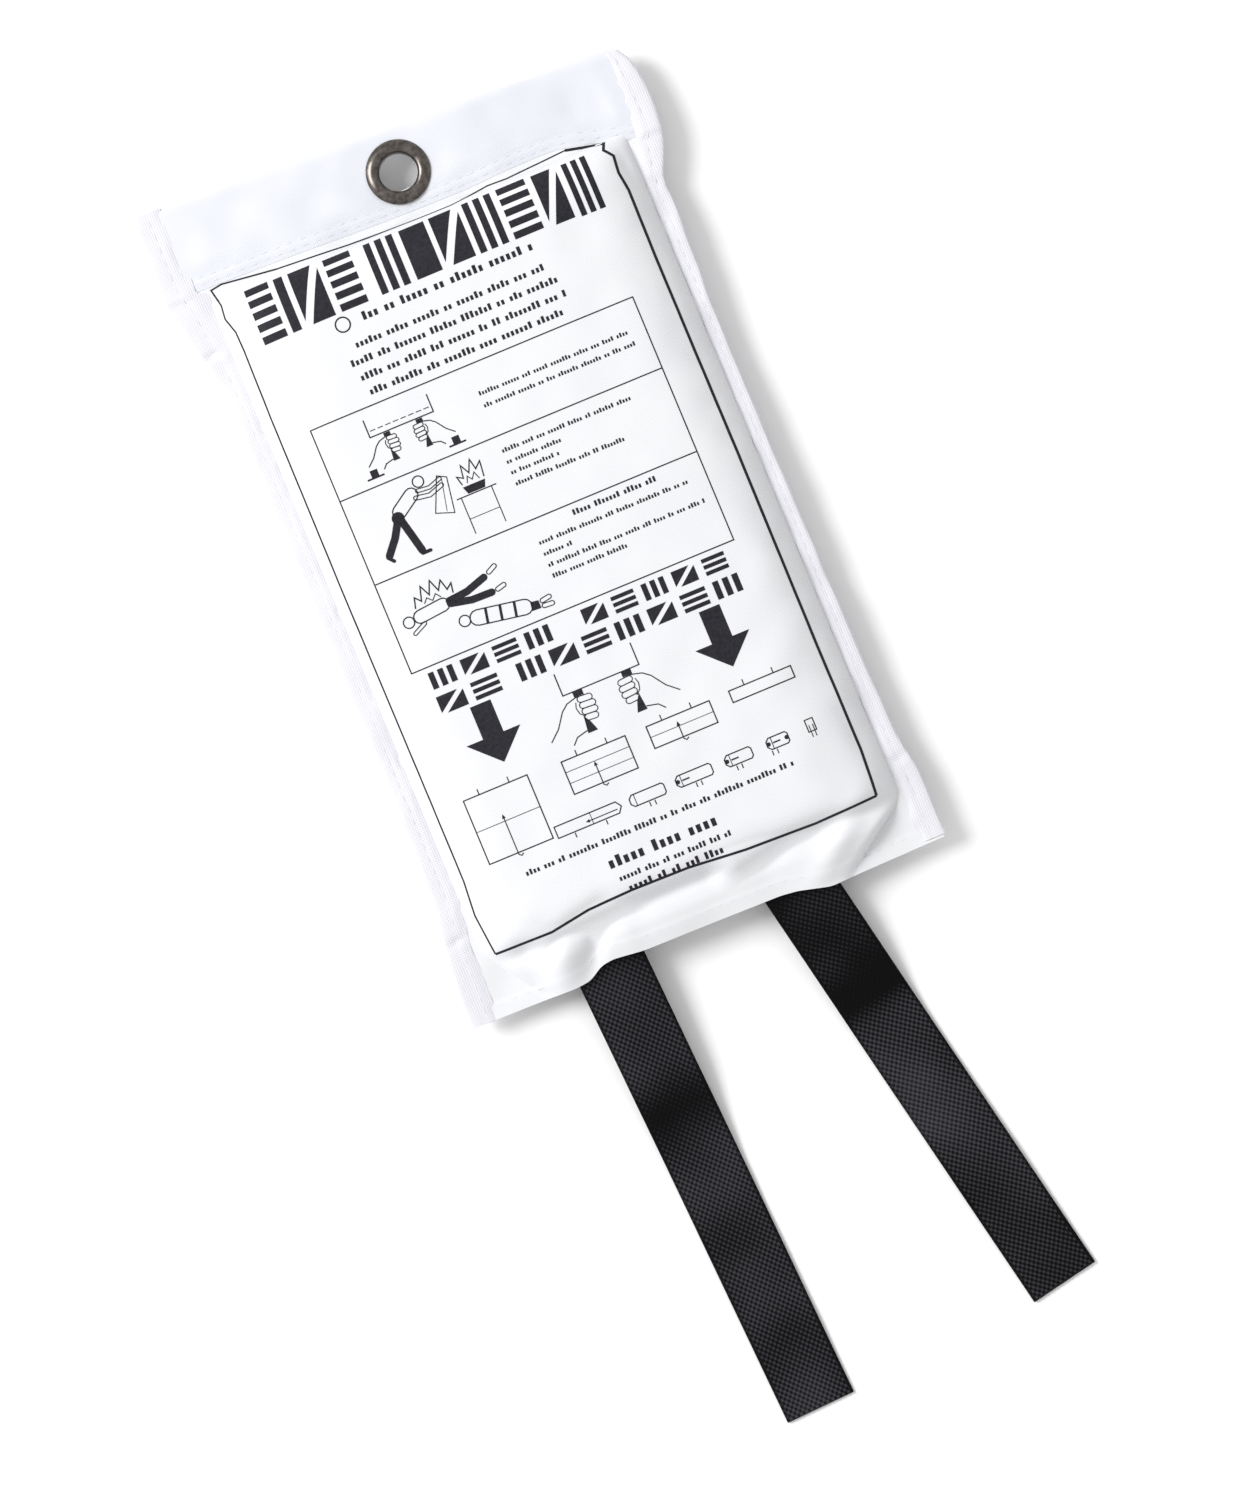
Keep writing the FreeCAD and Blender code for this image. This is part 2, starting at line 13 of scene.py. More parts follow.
import bmesh
import bpy
import numpy as np
from mathutils import Vector
from mathutils.bvhtree import BVHTree
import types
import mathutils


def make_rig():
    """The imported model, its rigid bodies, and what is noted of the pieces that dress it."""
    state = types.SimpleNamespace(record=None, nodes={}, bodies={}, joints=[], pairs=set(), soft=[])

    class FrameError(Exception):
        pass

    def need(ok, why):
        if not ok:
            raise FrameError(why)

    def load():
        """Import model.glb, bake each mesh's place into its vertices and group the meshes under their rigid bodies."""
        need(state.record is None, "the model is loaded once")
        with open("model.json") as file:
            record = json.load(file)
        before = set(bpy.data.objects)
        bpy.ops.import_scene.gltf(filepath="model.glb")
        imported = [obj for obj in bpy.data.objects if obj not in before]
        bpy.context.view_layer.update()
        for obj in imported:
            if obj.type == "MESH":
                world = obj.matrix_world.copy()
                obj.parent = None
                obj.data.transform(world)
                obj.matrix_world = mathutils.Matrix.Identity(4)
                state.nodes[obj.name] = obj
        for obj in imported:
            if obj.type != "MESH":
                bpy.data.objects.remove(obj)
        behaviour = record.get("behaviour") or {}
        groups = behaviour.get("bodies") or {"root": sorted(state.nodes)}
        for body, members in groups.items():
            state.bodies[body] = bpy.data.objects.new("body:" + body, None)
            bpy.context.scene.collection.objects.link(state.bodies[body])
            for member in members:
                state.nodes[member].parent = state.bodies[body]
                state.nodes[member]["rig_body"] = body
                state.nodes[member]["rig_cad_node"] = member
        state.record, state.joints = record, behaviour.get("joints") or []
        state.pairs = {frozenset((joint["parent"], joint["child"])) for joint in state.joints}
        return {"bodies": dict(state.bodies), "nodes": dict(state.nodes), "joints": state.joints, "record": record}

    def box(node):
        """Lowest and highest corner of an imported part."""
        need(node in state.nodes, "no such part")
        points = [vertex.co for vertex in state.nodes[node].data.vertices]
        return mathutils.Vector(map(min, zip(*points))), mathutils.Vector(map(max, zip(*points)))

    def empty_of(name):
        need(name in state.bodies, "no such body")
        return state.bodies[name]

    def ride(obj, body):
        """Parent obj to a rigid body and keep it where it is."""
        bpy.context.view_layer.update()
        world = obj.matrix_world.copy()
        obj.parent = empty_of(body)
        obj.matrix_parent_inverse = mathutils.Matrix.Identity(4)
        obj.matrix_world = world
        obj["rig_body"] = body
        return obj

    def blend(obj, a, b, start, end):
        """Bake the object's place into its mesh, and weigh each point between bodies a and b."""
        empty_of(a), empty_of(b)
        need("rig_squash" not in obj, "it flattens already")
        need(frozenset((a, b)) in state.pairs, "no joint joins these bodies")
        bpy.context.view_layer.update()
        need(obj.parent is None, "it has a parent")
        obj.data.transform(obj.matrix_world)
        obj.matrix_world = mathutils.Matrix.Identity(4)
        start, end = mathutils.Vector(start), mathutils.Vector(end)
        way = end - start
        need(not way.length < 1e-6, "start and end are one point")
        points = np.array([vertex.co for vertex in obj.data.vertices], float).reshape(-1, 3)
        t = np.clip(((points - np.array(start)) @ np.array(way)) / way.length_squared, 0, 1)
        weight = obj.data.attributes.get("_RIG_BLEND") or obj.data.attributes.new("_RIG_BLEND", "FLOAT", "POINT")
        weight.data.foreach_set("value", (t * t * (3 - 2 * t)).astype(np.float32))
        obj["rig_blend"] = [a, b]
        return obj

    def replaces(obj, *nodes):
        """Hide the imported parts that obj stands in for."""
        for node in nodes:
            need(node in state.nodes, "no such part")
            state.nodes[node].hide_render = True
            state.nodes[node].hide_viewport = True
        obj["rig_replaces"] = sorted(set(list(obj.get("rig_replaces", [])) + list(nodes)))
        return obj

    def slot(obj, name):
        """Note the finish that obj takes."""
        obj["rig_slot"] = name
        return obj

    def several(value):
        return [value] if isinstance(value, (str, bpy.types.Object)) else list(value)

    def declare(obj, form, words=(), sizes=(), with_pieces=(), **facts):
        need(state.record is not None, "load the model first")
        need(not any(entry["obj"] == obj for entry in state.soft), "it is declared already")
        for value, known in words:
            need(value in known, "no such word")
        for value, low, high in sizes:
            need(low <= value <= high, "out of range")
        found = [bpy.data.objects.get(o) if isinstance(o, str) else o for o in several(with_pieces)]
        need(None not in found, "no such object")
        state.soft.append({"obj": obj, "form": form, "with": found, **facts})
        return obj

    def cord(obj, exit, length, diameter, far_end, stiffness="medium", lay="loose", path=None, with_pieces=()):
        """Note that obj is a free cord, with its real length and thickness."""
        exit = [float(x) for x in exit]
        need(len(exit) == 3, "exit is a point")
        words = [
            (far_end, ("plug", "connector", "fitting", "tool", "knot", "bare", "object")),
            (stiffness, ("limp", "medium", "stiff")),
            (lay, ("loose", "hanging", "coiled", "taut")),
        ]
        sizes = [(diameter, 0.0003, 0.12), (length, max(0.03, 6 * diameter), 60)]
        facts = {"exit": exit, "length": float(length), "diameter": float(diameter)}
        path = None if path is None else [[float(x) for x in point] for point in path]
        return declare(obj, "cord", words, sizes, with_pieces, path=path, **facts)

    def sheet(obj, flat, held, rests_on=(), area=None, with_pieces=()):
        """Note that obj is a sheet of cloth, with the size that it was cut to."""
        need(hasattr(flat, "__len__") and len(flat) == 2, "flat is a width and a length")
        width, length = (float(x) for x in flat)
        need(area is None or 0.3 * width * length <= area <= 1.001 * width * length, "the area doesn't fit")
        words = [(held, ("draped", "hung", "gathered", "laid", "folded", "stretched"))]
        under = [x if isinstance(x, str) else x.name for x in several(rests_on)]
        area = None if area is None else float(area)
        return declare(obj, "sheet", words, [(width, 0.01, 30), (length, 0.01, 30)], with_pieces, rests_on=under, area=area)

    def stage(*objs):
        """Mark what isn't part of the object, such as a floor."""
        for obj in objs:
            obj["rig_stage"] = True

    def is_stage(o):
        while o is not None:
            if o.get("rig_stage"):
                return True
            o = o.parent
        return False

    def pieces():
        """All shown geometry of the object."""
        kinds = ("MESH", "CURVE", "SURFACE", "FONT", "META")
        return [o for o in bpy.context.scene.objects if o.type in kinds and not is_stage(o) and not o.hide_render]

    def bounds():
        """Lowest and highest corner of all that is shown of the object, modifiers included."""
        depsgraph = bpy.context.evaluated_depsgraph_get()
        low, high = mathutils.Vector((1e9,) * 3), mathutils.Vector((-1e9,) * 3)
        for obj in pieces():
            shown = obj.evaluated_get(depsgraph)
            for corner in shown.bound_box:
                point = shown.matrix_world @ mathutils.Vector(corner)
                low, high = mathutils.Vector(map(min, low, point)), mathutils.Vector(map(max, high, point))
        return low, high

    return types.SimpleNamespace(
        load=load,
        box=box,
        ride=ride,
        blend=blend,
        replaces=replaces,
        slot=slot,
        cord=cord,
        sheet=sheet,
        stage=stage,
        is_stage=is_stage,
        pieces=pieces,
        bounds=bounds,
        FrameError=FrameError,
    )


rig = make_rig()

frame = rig.load()
cad_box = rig.bounds()

MM = 0.001  # one millimetre in metres
FLOOR = cad_box[0].z / MM  # the surface that everything lies on, in millimetres
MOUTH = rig.box("front_panel")[0].y / MM  # the pouch's open lower end
CLOTH = 0.6  # thickness of the pouch's fabric
ROOT = 75.0  # half width at which the panels leave their seams
TUCK = -6.0  # the panels' upper edges, inside the header band
CREST = -16.5  # where the panels start to rise, below the header band
FAR = 0.1  # further from the seam's plane than anything, in metres


# Camera

VIEW_TURN = math.radians(-22.6)  # the pouch lies turned by this much in the view
VIEW_CENTRE = (-2.7, -208.6)
VIEW_FIELD = 503.0  # the height of what the camera sees
LENS, SENSOR = 100.0, 36.0


def make_camera():
    """A camera straight above, turned as the view is."""
    data = bpy.data.cameras.new("camera")
    data.lens = LENS
    data.sensor_fit = "VERTICAL"
    data.sensor_height = SENSOR
    camera = bpy.data.objects.new("camera", data)
    bpy.context.scene.collection.objects.link(camera)
    camera.location = (VIEW_CENTRE[0] * MM, VIEW_CENTRE[1] * MM, VIEW_FIELD * LENS / SENSOR * MM)
    camera.rotation_euler = (0, 0, VIEW_TURN)
    bpy.context.scene.camera = camera


make_camera()


# Meshes

def link(name, mesh):
    piece = bpy.data.objects.new(name, mesh)
    bpy.context.scene.collection.objects.link(piece)
    return piece


def mesh_piece(name, points, faces, smooth_angle=50):
    """A piece from points in millimetres."""
    mesh = bpy.data.meshes.new(name)
    mesh.from_pydata((np.asarray(points, float) * MM).tolist(), [], faces)
    mesh.validate()
    outwards = bmesh.new()
    outwards.from_mesh(mesh)
    bmesh.ops.recalc_face_normals(outwards, faces=outwards.faces[:])
    outwards.to_mesh(mesh)
    outwards.free()
    mesh.shade_smooth()
    mesh.set_sharp_from_angle(angle=math.radians(smooth_angle))
    return link(name, mesh)


def shell(name, outer, inner, keep=None):
    """A closed thin solid between two grids of points; keep marks the grid's faces that are there."""
    rows, columns = outer.shape[:2]
    if keep is None:
        keep = np.ones((rows - 1, columns - 1), bool)
    number = np.arange(rows * columns).reshape(rows, columns)
    corners = (number[:-1, :-1], number[:-1, 1:], number[1:, 1:], number[1:, :-1])
    top = np.stack([c[keep] for c in corners], 1)
    faces = top.tolist() + (top[:, ::-1] + rows * columns).tolist()
    padded = np.pad(keep, 1)
    sides = ((padded[:-2, 1:-1], corners[0], corners[1]), (padded[1:-1, 2:], corners[1], corners[2]),
             (padded[2:, 1:-1], corners[2], corners[3]), (padded[1:-1, :-2], corners[3], corners[0]))
    for neighbour, first, second in sides:
        rim = keep & ~neighbour
        a, b = first[rim], second[rim]
        faces += np.stack([b, a, a + rows * columns, b + rows * columns], 1).tolist()
    points = np.concatenate([outer.reshape(-1, 3), inner.reshape(-1, 3)])
    used = np.zeros(len(points), bool)
    used[np.unique([corner for face in faces for corner in face])] = True
    place = np.cumsum(used) - 1
    faces = [[int(place[corner]) for corner in face] for face in faces]
    return mesh_piece(name, points[used], faces)


def normals_of(grid):
    """Unit normals of a grid of points."""
    along = np.gradient(grid, axis=1)
    down = np.gradient(grid, axis=0)
    normal = np.cross(along, down)
    return normal / np.maximum(np.linalg.norm(normal, axis=2, keepdims=True), 1e-9)


def joined(name, parts, smooth_angle):
    """One piece from many small ones, each a pair of points and faces."""
    points, faces = [], []
    for part_points, part_faces in parts:
        start = len(points)
        points += list(part_points)
        faces += [[corner + start for corner in face] for face in part_faces]
    return mesh_piece(name, points, faces, smooth_angle)


# Outline and heights

# The two edges of the whole pouch, from the header's top down to the mouth: place along Y, and X there
LEFT_OUTLINE = [
    (20, -88.7), (-8, -90.0), (-16, -89.3), (-28, -86.2), (-39, -83.1), (-60, -82.1), (-110, -82.0),
    (-150, -82.7), (-190, -82.2), (-232, -83.4), (-251, -86.5), (-262, -87.3), (-276, -87.7),
]
RIGHT_OUTLINE = [
    (11, 82), (8, 85.6), (2, 87.2), (-8, 88.5), (-16, 88), (-23, 86.6), (-29, 84.4), (-36, 81), (-44, 81.8),
    (-60, 80.9), (-80, 80.2), (-160, 80.4), (-220, 81.3), (-241, 82), (-251, 84), (-276, 84.6),
]


def eased(line, at, ease=1.6):
    """The value at a place along a line of places and values, with its corners eased."""
    places, values = zip(*sorted(line))
    at = np.asarray(at, float)
    return sum(np.interp(at + shift * ease, places, values) for shift in (-2, -1, 0, 1, 2)) / 5


def smooth_step(value, start, end):
    """0 before start, 1 after end, and an easy slope between."""
    share = np.clip((value - start) / (end - start), 0, 1)
    return share * share * (3 - 2 * share)


def ripple(x, y, seed, shortest, longest, waves=28):
    """Soft uneven waves of about unit height whose lengths lie between shortest and longest."""
    draw = random.Random(seed)
    total = np.zeros(np.broadcast(x, y).shape)
    for _ in range(waves):
        turn = draw.uniform(0, 2 * math.pi)
        number = 2 * math.pi / math.exp(draw.uniform(math.log(shortest), math.log(longest)))
        phase = draw.uniform(0, 2 * math.pi)
        total += np.sin(number * (x * math.cos(turn) + y * math.sin(turn)) + phase)
    return total * math.sqrt(2 / waves)


# A fold or dent: its middle, the way that it runs, its half length and half width, and how far it stands up.
Fold = namedtuple("Fold", "x y turn long wide height")


def folds_at(folds, x, y):
    total = np.zeros(np.broadcast(x, y).shape)
    for fold in folds:
        turn = math.radians(fold.turn)
        along = (x - fold.x) * math.cos(turn) + (y - fold.y) * math.sin(turn)
        across = -(x - fold.x) * math.sin(turn) + (y - fold.y) * math.cos(turn)
        total += fold.height * np.exp(-(along / fold.long) ** 2 - (across / fold.wide) ** 2)
    return total


def seam(x, y):
    """How far the flat flange all round, and the header band, stand from their own plane."""
    loose = 1 - smooth_step(np.abs(x), 60, 78) * 0.3
    return 0.45 * loose * ripple(x, y, 11, 40, 120, 12) + 0.12 * ripple(x, y, 12, 12, 30, 20)


def rounded(share, sharp):
    """The section of stretched fabric over an edge: steep at first, then level."""
    return (1 - (1 - np.clip(share, 0, 1)) ** sharp) ** 0.75


# Pull tapes: centre lines as distance outwards from the mouth and height above the surface, in metres.
TAPE_WIDTH, TAPE_THICK = 25.0, 1.3
Tape = namedtuple("Tape", "side middle splay route")
TAPE_INSIDE = [(-0.057, 0.01825), (-0.038, 0.0183), (-0.0223, 0.0185), (-0.0162, 0.013), (-0.004, 0.0101)]
TAPES = [
    Tape("left", -36.5, 2.8, TAPE_INSIDE + [
        (0.021, 0.0077), (0.042, 0.0059), (0.06, 0.0025), (0.08, 0.00075), (0.121, 0.0012),
        (0.1635, 0.00065)]),
    Tape("right", 32.3, 11.4, TAPE_INSIDE + [
        (0.016, 0.0073), (0.033, 0.0049), (0.049, 0.0016), (0.074, 0.0008), (0.116, 0.0015),
        (0.159, 0.00065)]),
]
TAPE_HIDDEN = 28.5  # how much of a tape is sewn down on the blanket
WEAVE_WIDE, WEAVE_LONG = 1.95, 2.3  # one full repeat of the webbing's weave, across and along it
WEAVE_RELIEF = 0.13
WEAVE_SAMPLES = 6  # points for each repeat
EDGE_ROUND = 0.55  # how far in from its edges a tape's section is round
STEEP = (0.09, 0.19)  # how steeply a tape goes down where painted shade starts to darken its yarns, and where that shade is full


def tape_point(tape, outwards, height):
    """A point of a tape's centre line in the frame; all in metres."""
    turn = math.radians(tape.splay)
    return Vector((tape.middle * MM + outwards * math.sin(turn), MOUTH * MM - outwards * math.cos(turn),
                   FLOOR * MM + height))


def tape_line(tape):
    """Points read from the tape's smooth centre line."""
    curve = bpy.data.curves.new(f"{tape.side}_tape_line", "CURVE")
    curve.dimensions = "3D"
    curve.resolution_u = 24
    spline = curve.splines.new("NURBS")
    spline.points.add(len(tape.route) - 1)
    for point, (outwards, height) in zip(spline.points, tape.route):
        point.co = (*tape_point(tape, outwards, height), 1)
    spline.order_u = 3
    spline.use_endpoint_u = True
    holder = bpy.data.objects.new(curve.name, curve)
    bpy.context.scene.collection.objects.link(holder)
    bpy.context.view_layer.update()
    line = bpy.data.meshes.new_from_object(holder)
    points = np.array([vertex.co for vertex in line.vertices])
    bpy.data.objects.remove(holder)
    bpy.data.curves.remove(curve)
    bpy.data.meshes.remove(line)
    return points


def even_line(points, spacing):
    """The same line with points at even distances, and its whole length."""
    steps = np.linalg.norm(np.diff(points, axis=0), axis=1)
    travelled = np.concatenate([[0], np.cumsum(steps)])
    wanted = np.linspace(0, travelled[-1], max(2, int(round(travelled[-1] / spacing)) + 1))
    return np.stack([np.interp(wanted, travelled, points[:, i]) for i in range(3)], 1), wanted


def make_tape(tape):
    """One strip of webbing whose weave stands out on both faces."""
    line, travelled = even_line(tape_line(tape) / MM, WEAVE_LONG / WEAVE_SAMPLES)
    forwards = np.gradient(line, axis=0)
    forwards /= np.linalg.norm(forwards, axis=1, keepdims=True)
    # Painted shade: the colour darkens where the tape goes down steeply and turns away from the key light.
    bent = smooth_step(-forwards[:, 2:], *STEEP)
    turn = math.radians(tape.splay)
    sideways = np.array([math.cos(turn), math.sin(turn), 0.0])
    upwards = np.cross(sideways, forwards)
    upwards *= np.sign(upwards[:, 2:])
    half = TAPE_WIDTH / 2 - 0.15
    across = np.linspace(-half, half, int(round(TAPE_WIDTH / WEAVE_WIDE * WEAVE_SAMPLES)) + 1)
    edge = np.clip((half - np.abs(across)) / EDGE_ROUND, 0, 1)
    plump = np.sqrt(1 - (1 - edge) ** 2)
    u, v = np.meshgrid(across, travelled)
    weave = np.cos(2 * math.pi * u / WEAVE_WIDE) * np.cos(2 * math.pi * v / WEAVE_LONG)
    weave = np.sign(weave) * np.abs(weave) ** 0.7
    selvedge = smooth_step(np.abs(u), half - 1.3, half - 0.7)
    weave = weave * (1 - 0.6 * selvedge) - 0.5 * selvedge
    relief = WEAVE_RELIEF * weave
    sag = 0.12 * ripple(u, v, 31 + len(tape.side), 18, 45, 10) * smooth_step(v, 60, 90)
    sag = np.maximum(sag, 0) * (1 - smooth_step(v, travelled[-1] - 20, travelled[-1] - 5) * 0.5)
    curl = tape_curl(tape, u, v)
    grids = []
    for way in (1, -1):
        thick = (TAPE_THICK / 2 - WEAVE_RELIEF) * (0.35 + 0.65 * plump) + relief
        height = way * thick + sag + curl
        grids.append(line[:, None, :] + u[..., None] * sideways + height[..., None] * upwards[:, None, :])
    piece = shell(f"{tape.side}_tape", grids[0], grids[1])
    # The weave attribute that the webbing's colour reads holds the yarn pattern and painted shade. The yarn tops are
    # painted lighter, the gaps darker, and the steep runs lowered by up to 0.65.
    layer = piece.data.attributes.new("weave", "FLOAT", "POINT")
    yarns_and_painted_shade = (weave * 0.5 + 0.5) * (1 - 0.65 * bent)
    layer.data.foreach_set("value", np.concatenate([yarns_and_painted_shade.ravel()] * 2).astype(np.float32))
    path = line * MM
    exit_at = np.argmin(np.abs(travelled - TAPE_HIDDEN))
    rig.replaces(piece, f"{tape.side}_tape_sewn_end", f"{tape.side}_tape_free_run")
    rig.slot(piece, "webbing")
    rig.blend(piece, "blanket", f"{tape.side}_tape", start=tape_point(tape, 0.0, 0.01),
             end=tape_point(tape, 0.016, 0.01))
    return piece, path, exit_at


def tape_curl(tape, across, along):
    """A tape's own slight twist and cupping where it comes down to the surface."""
    free = smooth_step(along, 62, 80) * (1 - smooth_step(along, 125, 150))
    lean = {"left": 0.018, "right": -0.014}[tape.side]
    return np.maximum(lean * across * free, -0.05)


tape_lines = {}
for tape in TAPES:
    piece, path, exit_at = make_tape(tape)
    tape_lines[tape.side] = path / MM
    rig.cord(piece, exit=path[exit_at], length=float(np.linalg.norm(np.diff(path, axis=0), axis=1).sum()),
            diameter=TAPE_WIDTH * MM, far_end="bare", stiffness="medium", lay="loose", path=path)


# Pouch: front panel

LIP = [(-87, -275), (-50, -275.6), (-44.5, -275), (-39.5, -271.9), (-35, -271.2), (-24, -272.5), (25, -273.2),
       (31, -273.9), (42, -276.8), (87, -276)]
HEM = 5.2  # from the lip to the hem's inner edge
FRONT_RISE = 10.3  # from the seam to the front panel's level part, at its sides
FRONT_CROWN = 1.1  # how much higher its middle is
FRONT_SLOPE = 30.0  # how far in from the seams it starts to curve down to them
# Share of its height that it still has down the folded blanket's end and along the hem, by place along Y
FRONT_END = [
    (-246.5, 1.0), (-249, 0.985), (-251, 0.945), (-252.5, 0.88), (-253.6, 0.8), (-254.6, 0.7), (-257.2, 0.41),
    (-258.6, 0.37), (-261, 0.44), (-264, 0.46), (-268, 0.39), (-276, 0.2),
]
# Half width of its raised part by place along Y: the corners beside the mouth lie flat
LEFT_CORNER = [(-277, 57), (-264, 68), (-250, ROOT), (TUCK, ROOT)]
RIGHT_CORNER = [(-277, 48), (-259, 74.5), (-254, ROOT), (TUCK, ROOT)]
TAPE_ROOM = 0.3  # between a tape and the fabric that goes over it
FRONT_FOLDS = [
    Fold(-50.5, -265, 62, 12, 6.5, 3.4), Fold(-37.5, -263, 58, 11, 3.4, -1.9),
    Fold(-27, -264, 82, 9, 4.5, 0.6), Fold(-38, -253, 12, 12, 3, -0.8),
    Fold(24, -263, 100, 10, 7, -0.5), Fold(51, -263, 40, 16, 5, 2.6),
    Fold(72, -28, 96, 8, 2.6, -1.5), Fold(-72, -30, 84, 7, 2.6, -0.5), Fold(30, -32, 5, 26, 3, -0.25),
    Fold(-20, -30, 175, 24, 3.2, -0.25), Fold(69, -70, 80, 16, 3, -0.3), Fold(-69, -225, 95, 18, 3, -0.3),
    Fold(69, -232, 100, 14, 3, -0.4), Fold(-70, -120, 88, 22, 2.6, -0.25),
]


def over_tapes(x, y):
    """For each tape: the height that fabric needs to pass over it, and how near it is, from 0 to 1."""
    for tape in TAPES:
        turn = math.radians(tape.splay)
        line = tape_lines[tape.side]
        outwards = (x - tape.middle) * math.sin(turn) - (y - MOUTH) * math.cos(turn)
        across = (x - tape.middle) * math.cos(turn) + (y - MOUTH) * math.sin(turn)
        line_out = (MOUTH - line[:, 1]) / math.cos(turn)
        height = np.interp(outwards, line_out, line[:, 2]) + TAPE_THICK / 2 + TAPE_ROOM + CLOTH
        near = 1 - smooth_step(np.abs(across), TAPE_WIDTH / 2 + 0.3, TAPE_WIDTH / 2 + 12)
        near = near * smooth_step(outwards, line_out[0] - 8, line_out[0])
        yield height, near


def lip_at(x):
    """Where the front panel ends."""
    return eased(LIP, x, 0.7)


def front_height(x, y):
    """Top of the front panel."""
    half = np.where(x > 0, eased(RIGHT_CORNER, y), eased(LEFT_CORNER, y))
    corner_slope = np.where(x > 0, 8, 20)
    slope = corner_slope + (FRONT_SLOPE - corner_slope) * smooth_step(y, MOUTH + 12, MOUTH + 26)
    inside = rounded((half - np.abs(x)) / slope, 3.2) * rounded((CREST - y) / 18, 2.2)
    base = (FRONT_RISE + FRONT_CROWN * (1 - (x / ROOT) ** 2)) * eased(FRONT_END, y, 0.45)
    near_mouth = smooth_step(-y, 236, 262)
    wrinkles = (0.09 + 0.12 * smooth_step(np.abs(x), 45, 72)) * ripple(x, y, 5, 16, 48)
    wrinkles += 0.22 * near_mouth * ripple(x, y * 1.3, 8, 24, 60)
    pucker = 0.22 * ripple(x * 0.15, y, 7, 8, 18) * smooth_step(np.abs(x), 62, 73) * (1 - near_mouth)
    loose = smooth_step(inside, 0.05, 0.75)
    height = CLOTH + seam(x, y) * (1 - 0.8 * inside) + base * inside
    height += (wrinkles + pucker + folds_at(FRONT_FOLDS, x, y)) * loose
    for needed, near in over_tapes(x, y):
        height = height + near * np.maximum(needed - height, 0)
    return height + 0.2 * smooth_step(lip_at(x) - y, -HEM - 0.8, -HEM + 0.8)


def body_columns(count=170, even=0.35):
    """Places across the body, closer together towards its sides."""
    share = np.linspace(-1, 1, count + 1)
    return ROOT * (even * share + (1 - even) * np.sin(math.pi * share / 2))


def panel_places(flange=7):
    """The two panels' grid: X and Y of each point, out to the edges under the bindings."""
    rows = np.concatenate([np.linspace(TUCK, CREST, 9)[:-1], np.linspace(CREST, -36, 26)[:-1],
                           np.linspace(-36, -246, 180)[:-1], np.linspace(-246, MOUTH, 44)])
    share = np.linspace(0, 1, flange + 1)[:-1, None]
    left = eased(LEFT_OUTLINE, rows) + 1.0
    right = eased(RIGHT_OUTLINE, rows) - 1.0
    body = np.repeat(body_columns()[:, None], len(rows), axis=1)
    x = np.concatenate([left + (-ROOT - left) * share, body, (right + (ROOT - right) * share)[::-1]]).T
    return x, np.repeat(rows[:, None], x.shape[1], axis=1)


def make_front_panel():
    x, y = panel_places()
    y = y + (lip_at(x) - MOUTH) * smooth_step(-y, 243, -MOUTH)
    outer = np.stack([x, y, front_height(x, y)], 2)
    normal = normals_of(outer)
    normal *= np.sign(normal[..., 2:])
    inner = outer - normal * CLOTH
    piece = shell("front_panel_cloth", outer, inner)
    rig.replaces(piece, "front_panel")
    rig.slot(piece, "printed_fabric")
    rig.sheet(piece, flat=(0.182, 0.272), held="stretched", rests_on=["blanket_cloth"])
    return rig.ride(piece, "pouch")


def surface_of(piece):
    """For finding heights on a finished piece."""
    graph = bpy.context.evaluated_depsgraph_get()
    return BVHTree.FromObject(piece, graph)


def height_on(surface, x, y, below=False):
    """The piece's height at a place, from above or from below, or None where there is nothing."""
    start = Vector((x * MM, y * MM, -FAR if below else FAR))
    hit = surface.ray_cast(start, Vector((0, 0, 1 if below else -1)))[0]
    return None if hit is None else hit.z / MM


# Pouch: back panel, header band and bindings

BACK_GAP = 0.1  # between the back panel's level part and the surface underneath
BACK_SHORT = 1.4  # how much higher up the back panel ends than the front lip


def back_height(x, y):
    """Underside of the back panel."""
    side = rounded((ROOT - np.abs(x)) / 10, 2.6)
    top = rounded((CREST - y) / 14, 2.6)
    drop = -FLOOR - BACK_GAP - CLOTH
    inside = side * top
    lift = 0.22 * np.maximum(ripple(x, y, 21, 16, 50), 0) * smooth_step(inside, 0.9, 1.0)
    slope = smooth_step(inside, 0.05, 0.3) * (1 - smooth_step(inside, 0.6, 0.9))
    pucker = 0.3 * ripple(x * 0.2, y, 22, 8, 18) * slope
    return -CLOTH + seam(x, y) * (1 - inside) - drop * inside + lift + pucker


def make_back_panel():
    x, y = panel_places()
    y = y + (lip_at(x) + BACK_SHORT - MOUTH) * smooth_step(-y, 243, -MOUTH)
    outer = np.stack([x, y, np.maximum(back_height(x, y), FLOOR + BACK_GAP / 2)], 2)
    normal = normals_of(outer)
    normal *= np.sign(normal[..., 2:])
    piece = shell("back_panel_cloth", outer, outer + normal * CLOTH)
    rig.replaces(piece, "back_panel")
    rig.slot(piece, "pouch_fabric")
    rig.sheet(piece, flat=(0.182, 0.272), held="laid", rests_on=["floor"])
    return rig.ride(piece, "pouch")


BAND_TOP = (20.0, 11.0)  # the header band's top edge, at its left and right end
# Its lower edge
BAND_LOW = [(-88, -11.0), (-50, -12.0), (-13, -13.4), (20, -14.2), (33, -13.4), (50, -13.0), (58, -14.2),
            (68, -17.0), (75, -19.6), (89, -20.3)]
BAND_ROWS = (1.7, 4.2)  # its two rows of stitches, above its lower edge
EYELET_PRESS = 12.5  # radius within which the eyelet presses the band flat
EYELET_HOLE = 8.0  # radius of the hole in the fabric, under the eyelet's flange
BAND_FOLDS = [Fold(37, 0, 108, 11, 5, -0.3), Fold(62, -4, 95, 6, 4, -0.3), Fold(75, -6, 95, 12, 3, 0.3),
              Fold(-70, 2, 80, 15, 5, 0.15), Fold(-30, 6, 60, 18, 8, -0.12)]


def band_low(x):
    """The header band's lower edge."""
    return eased(BAND_LOW, x, 3)


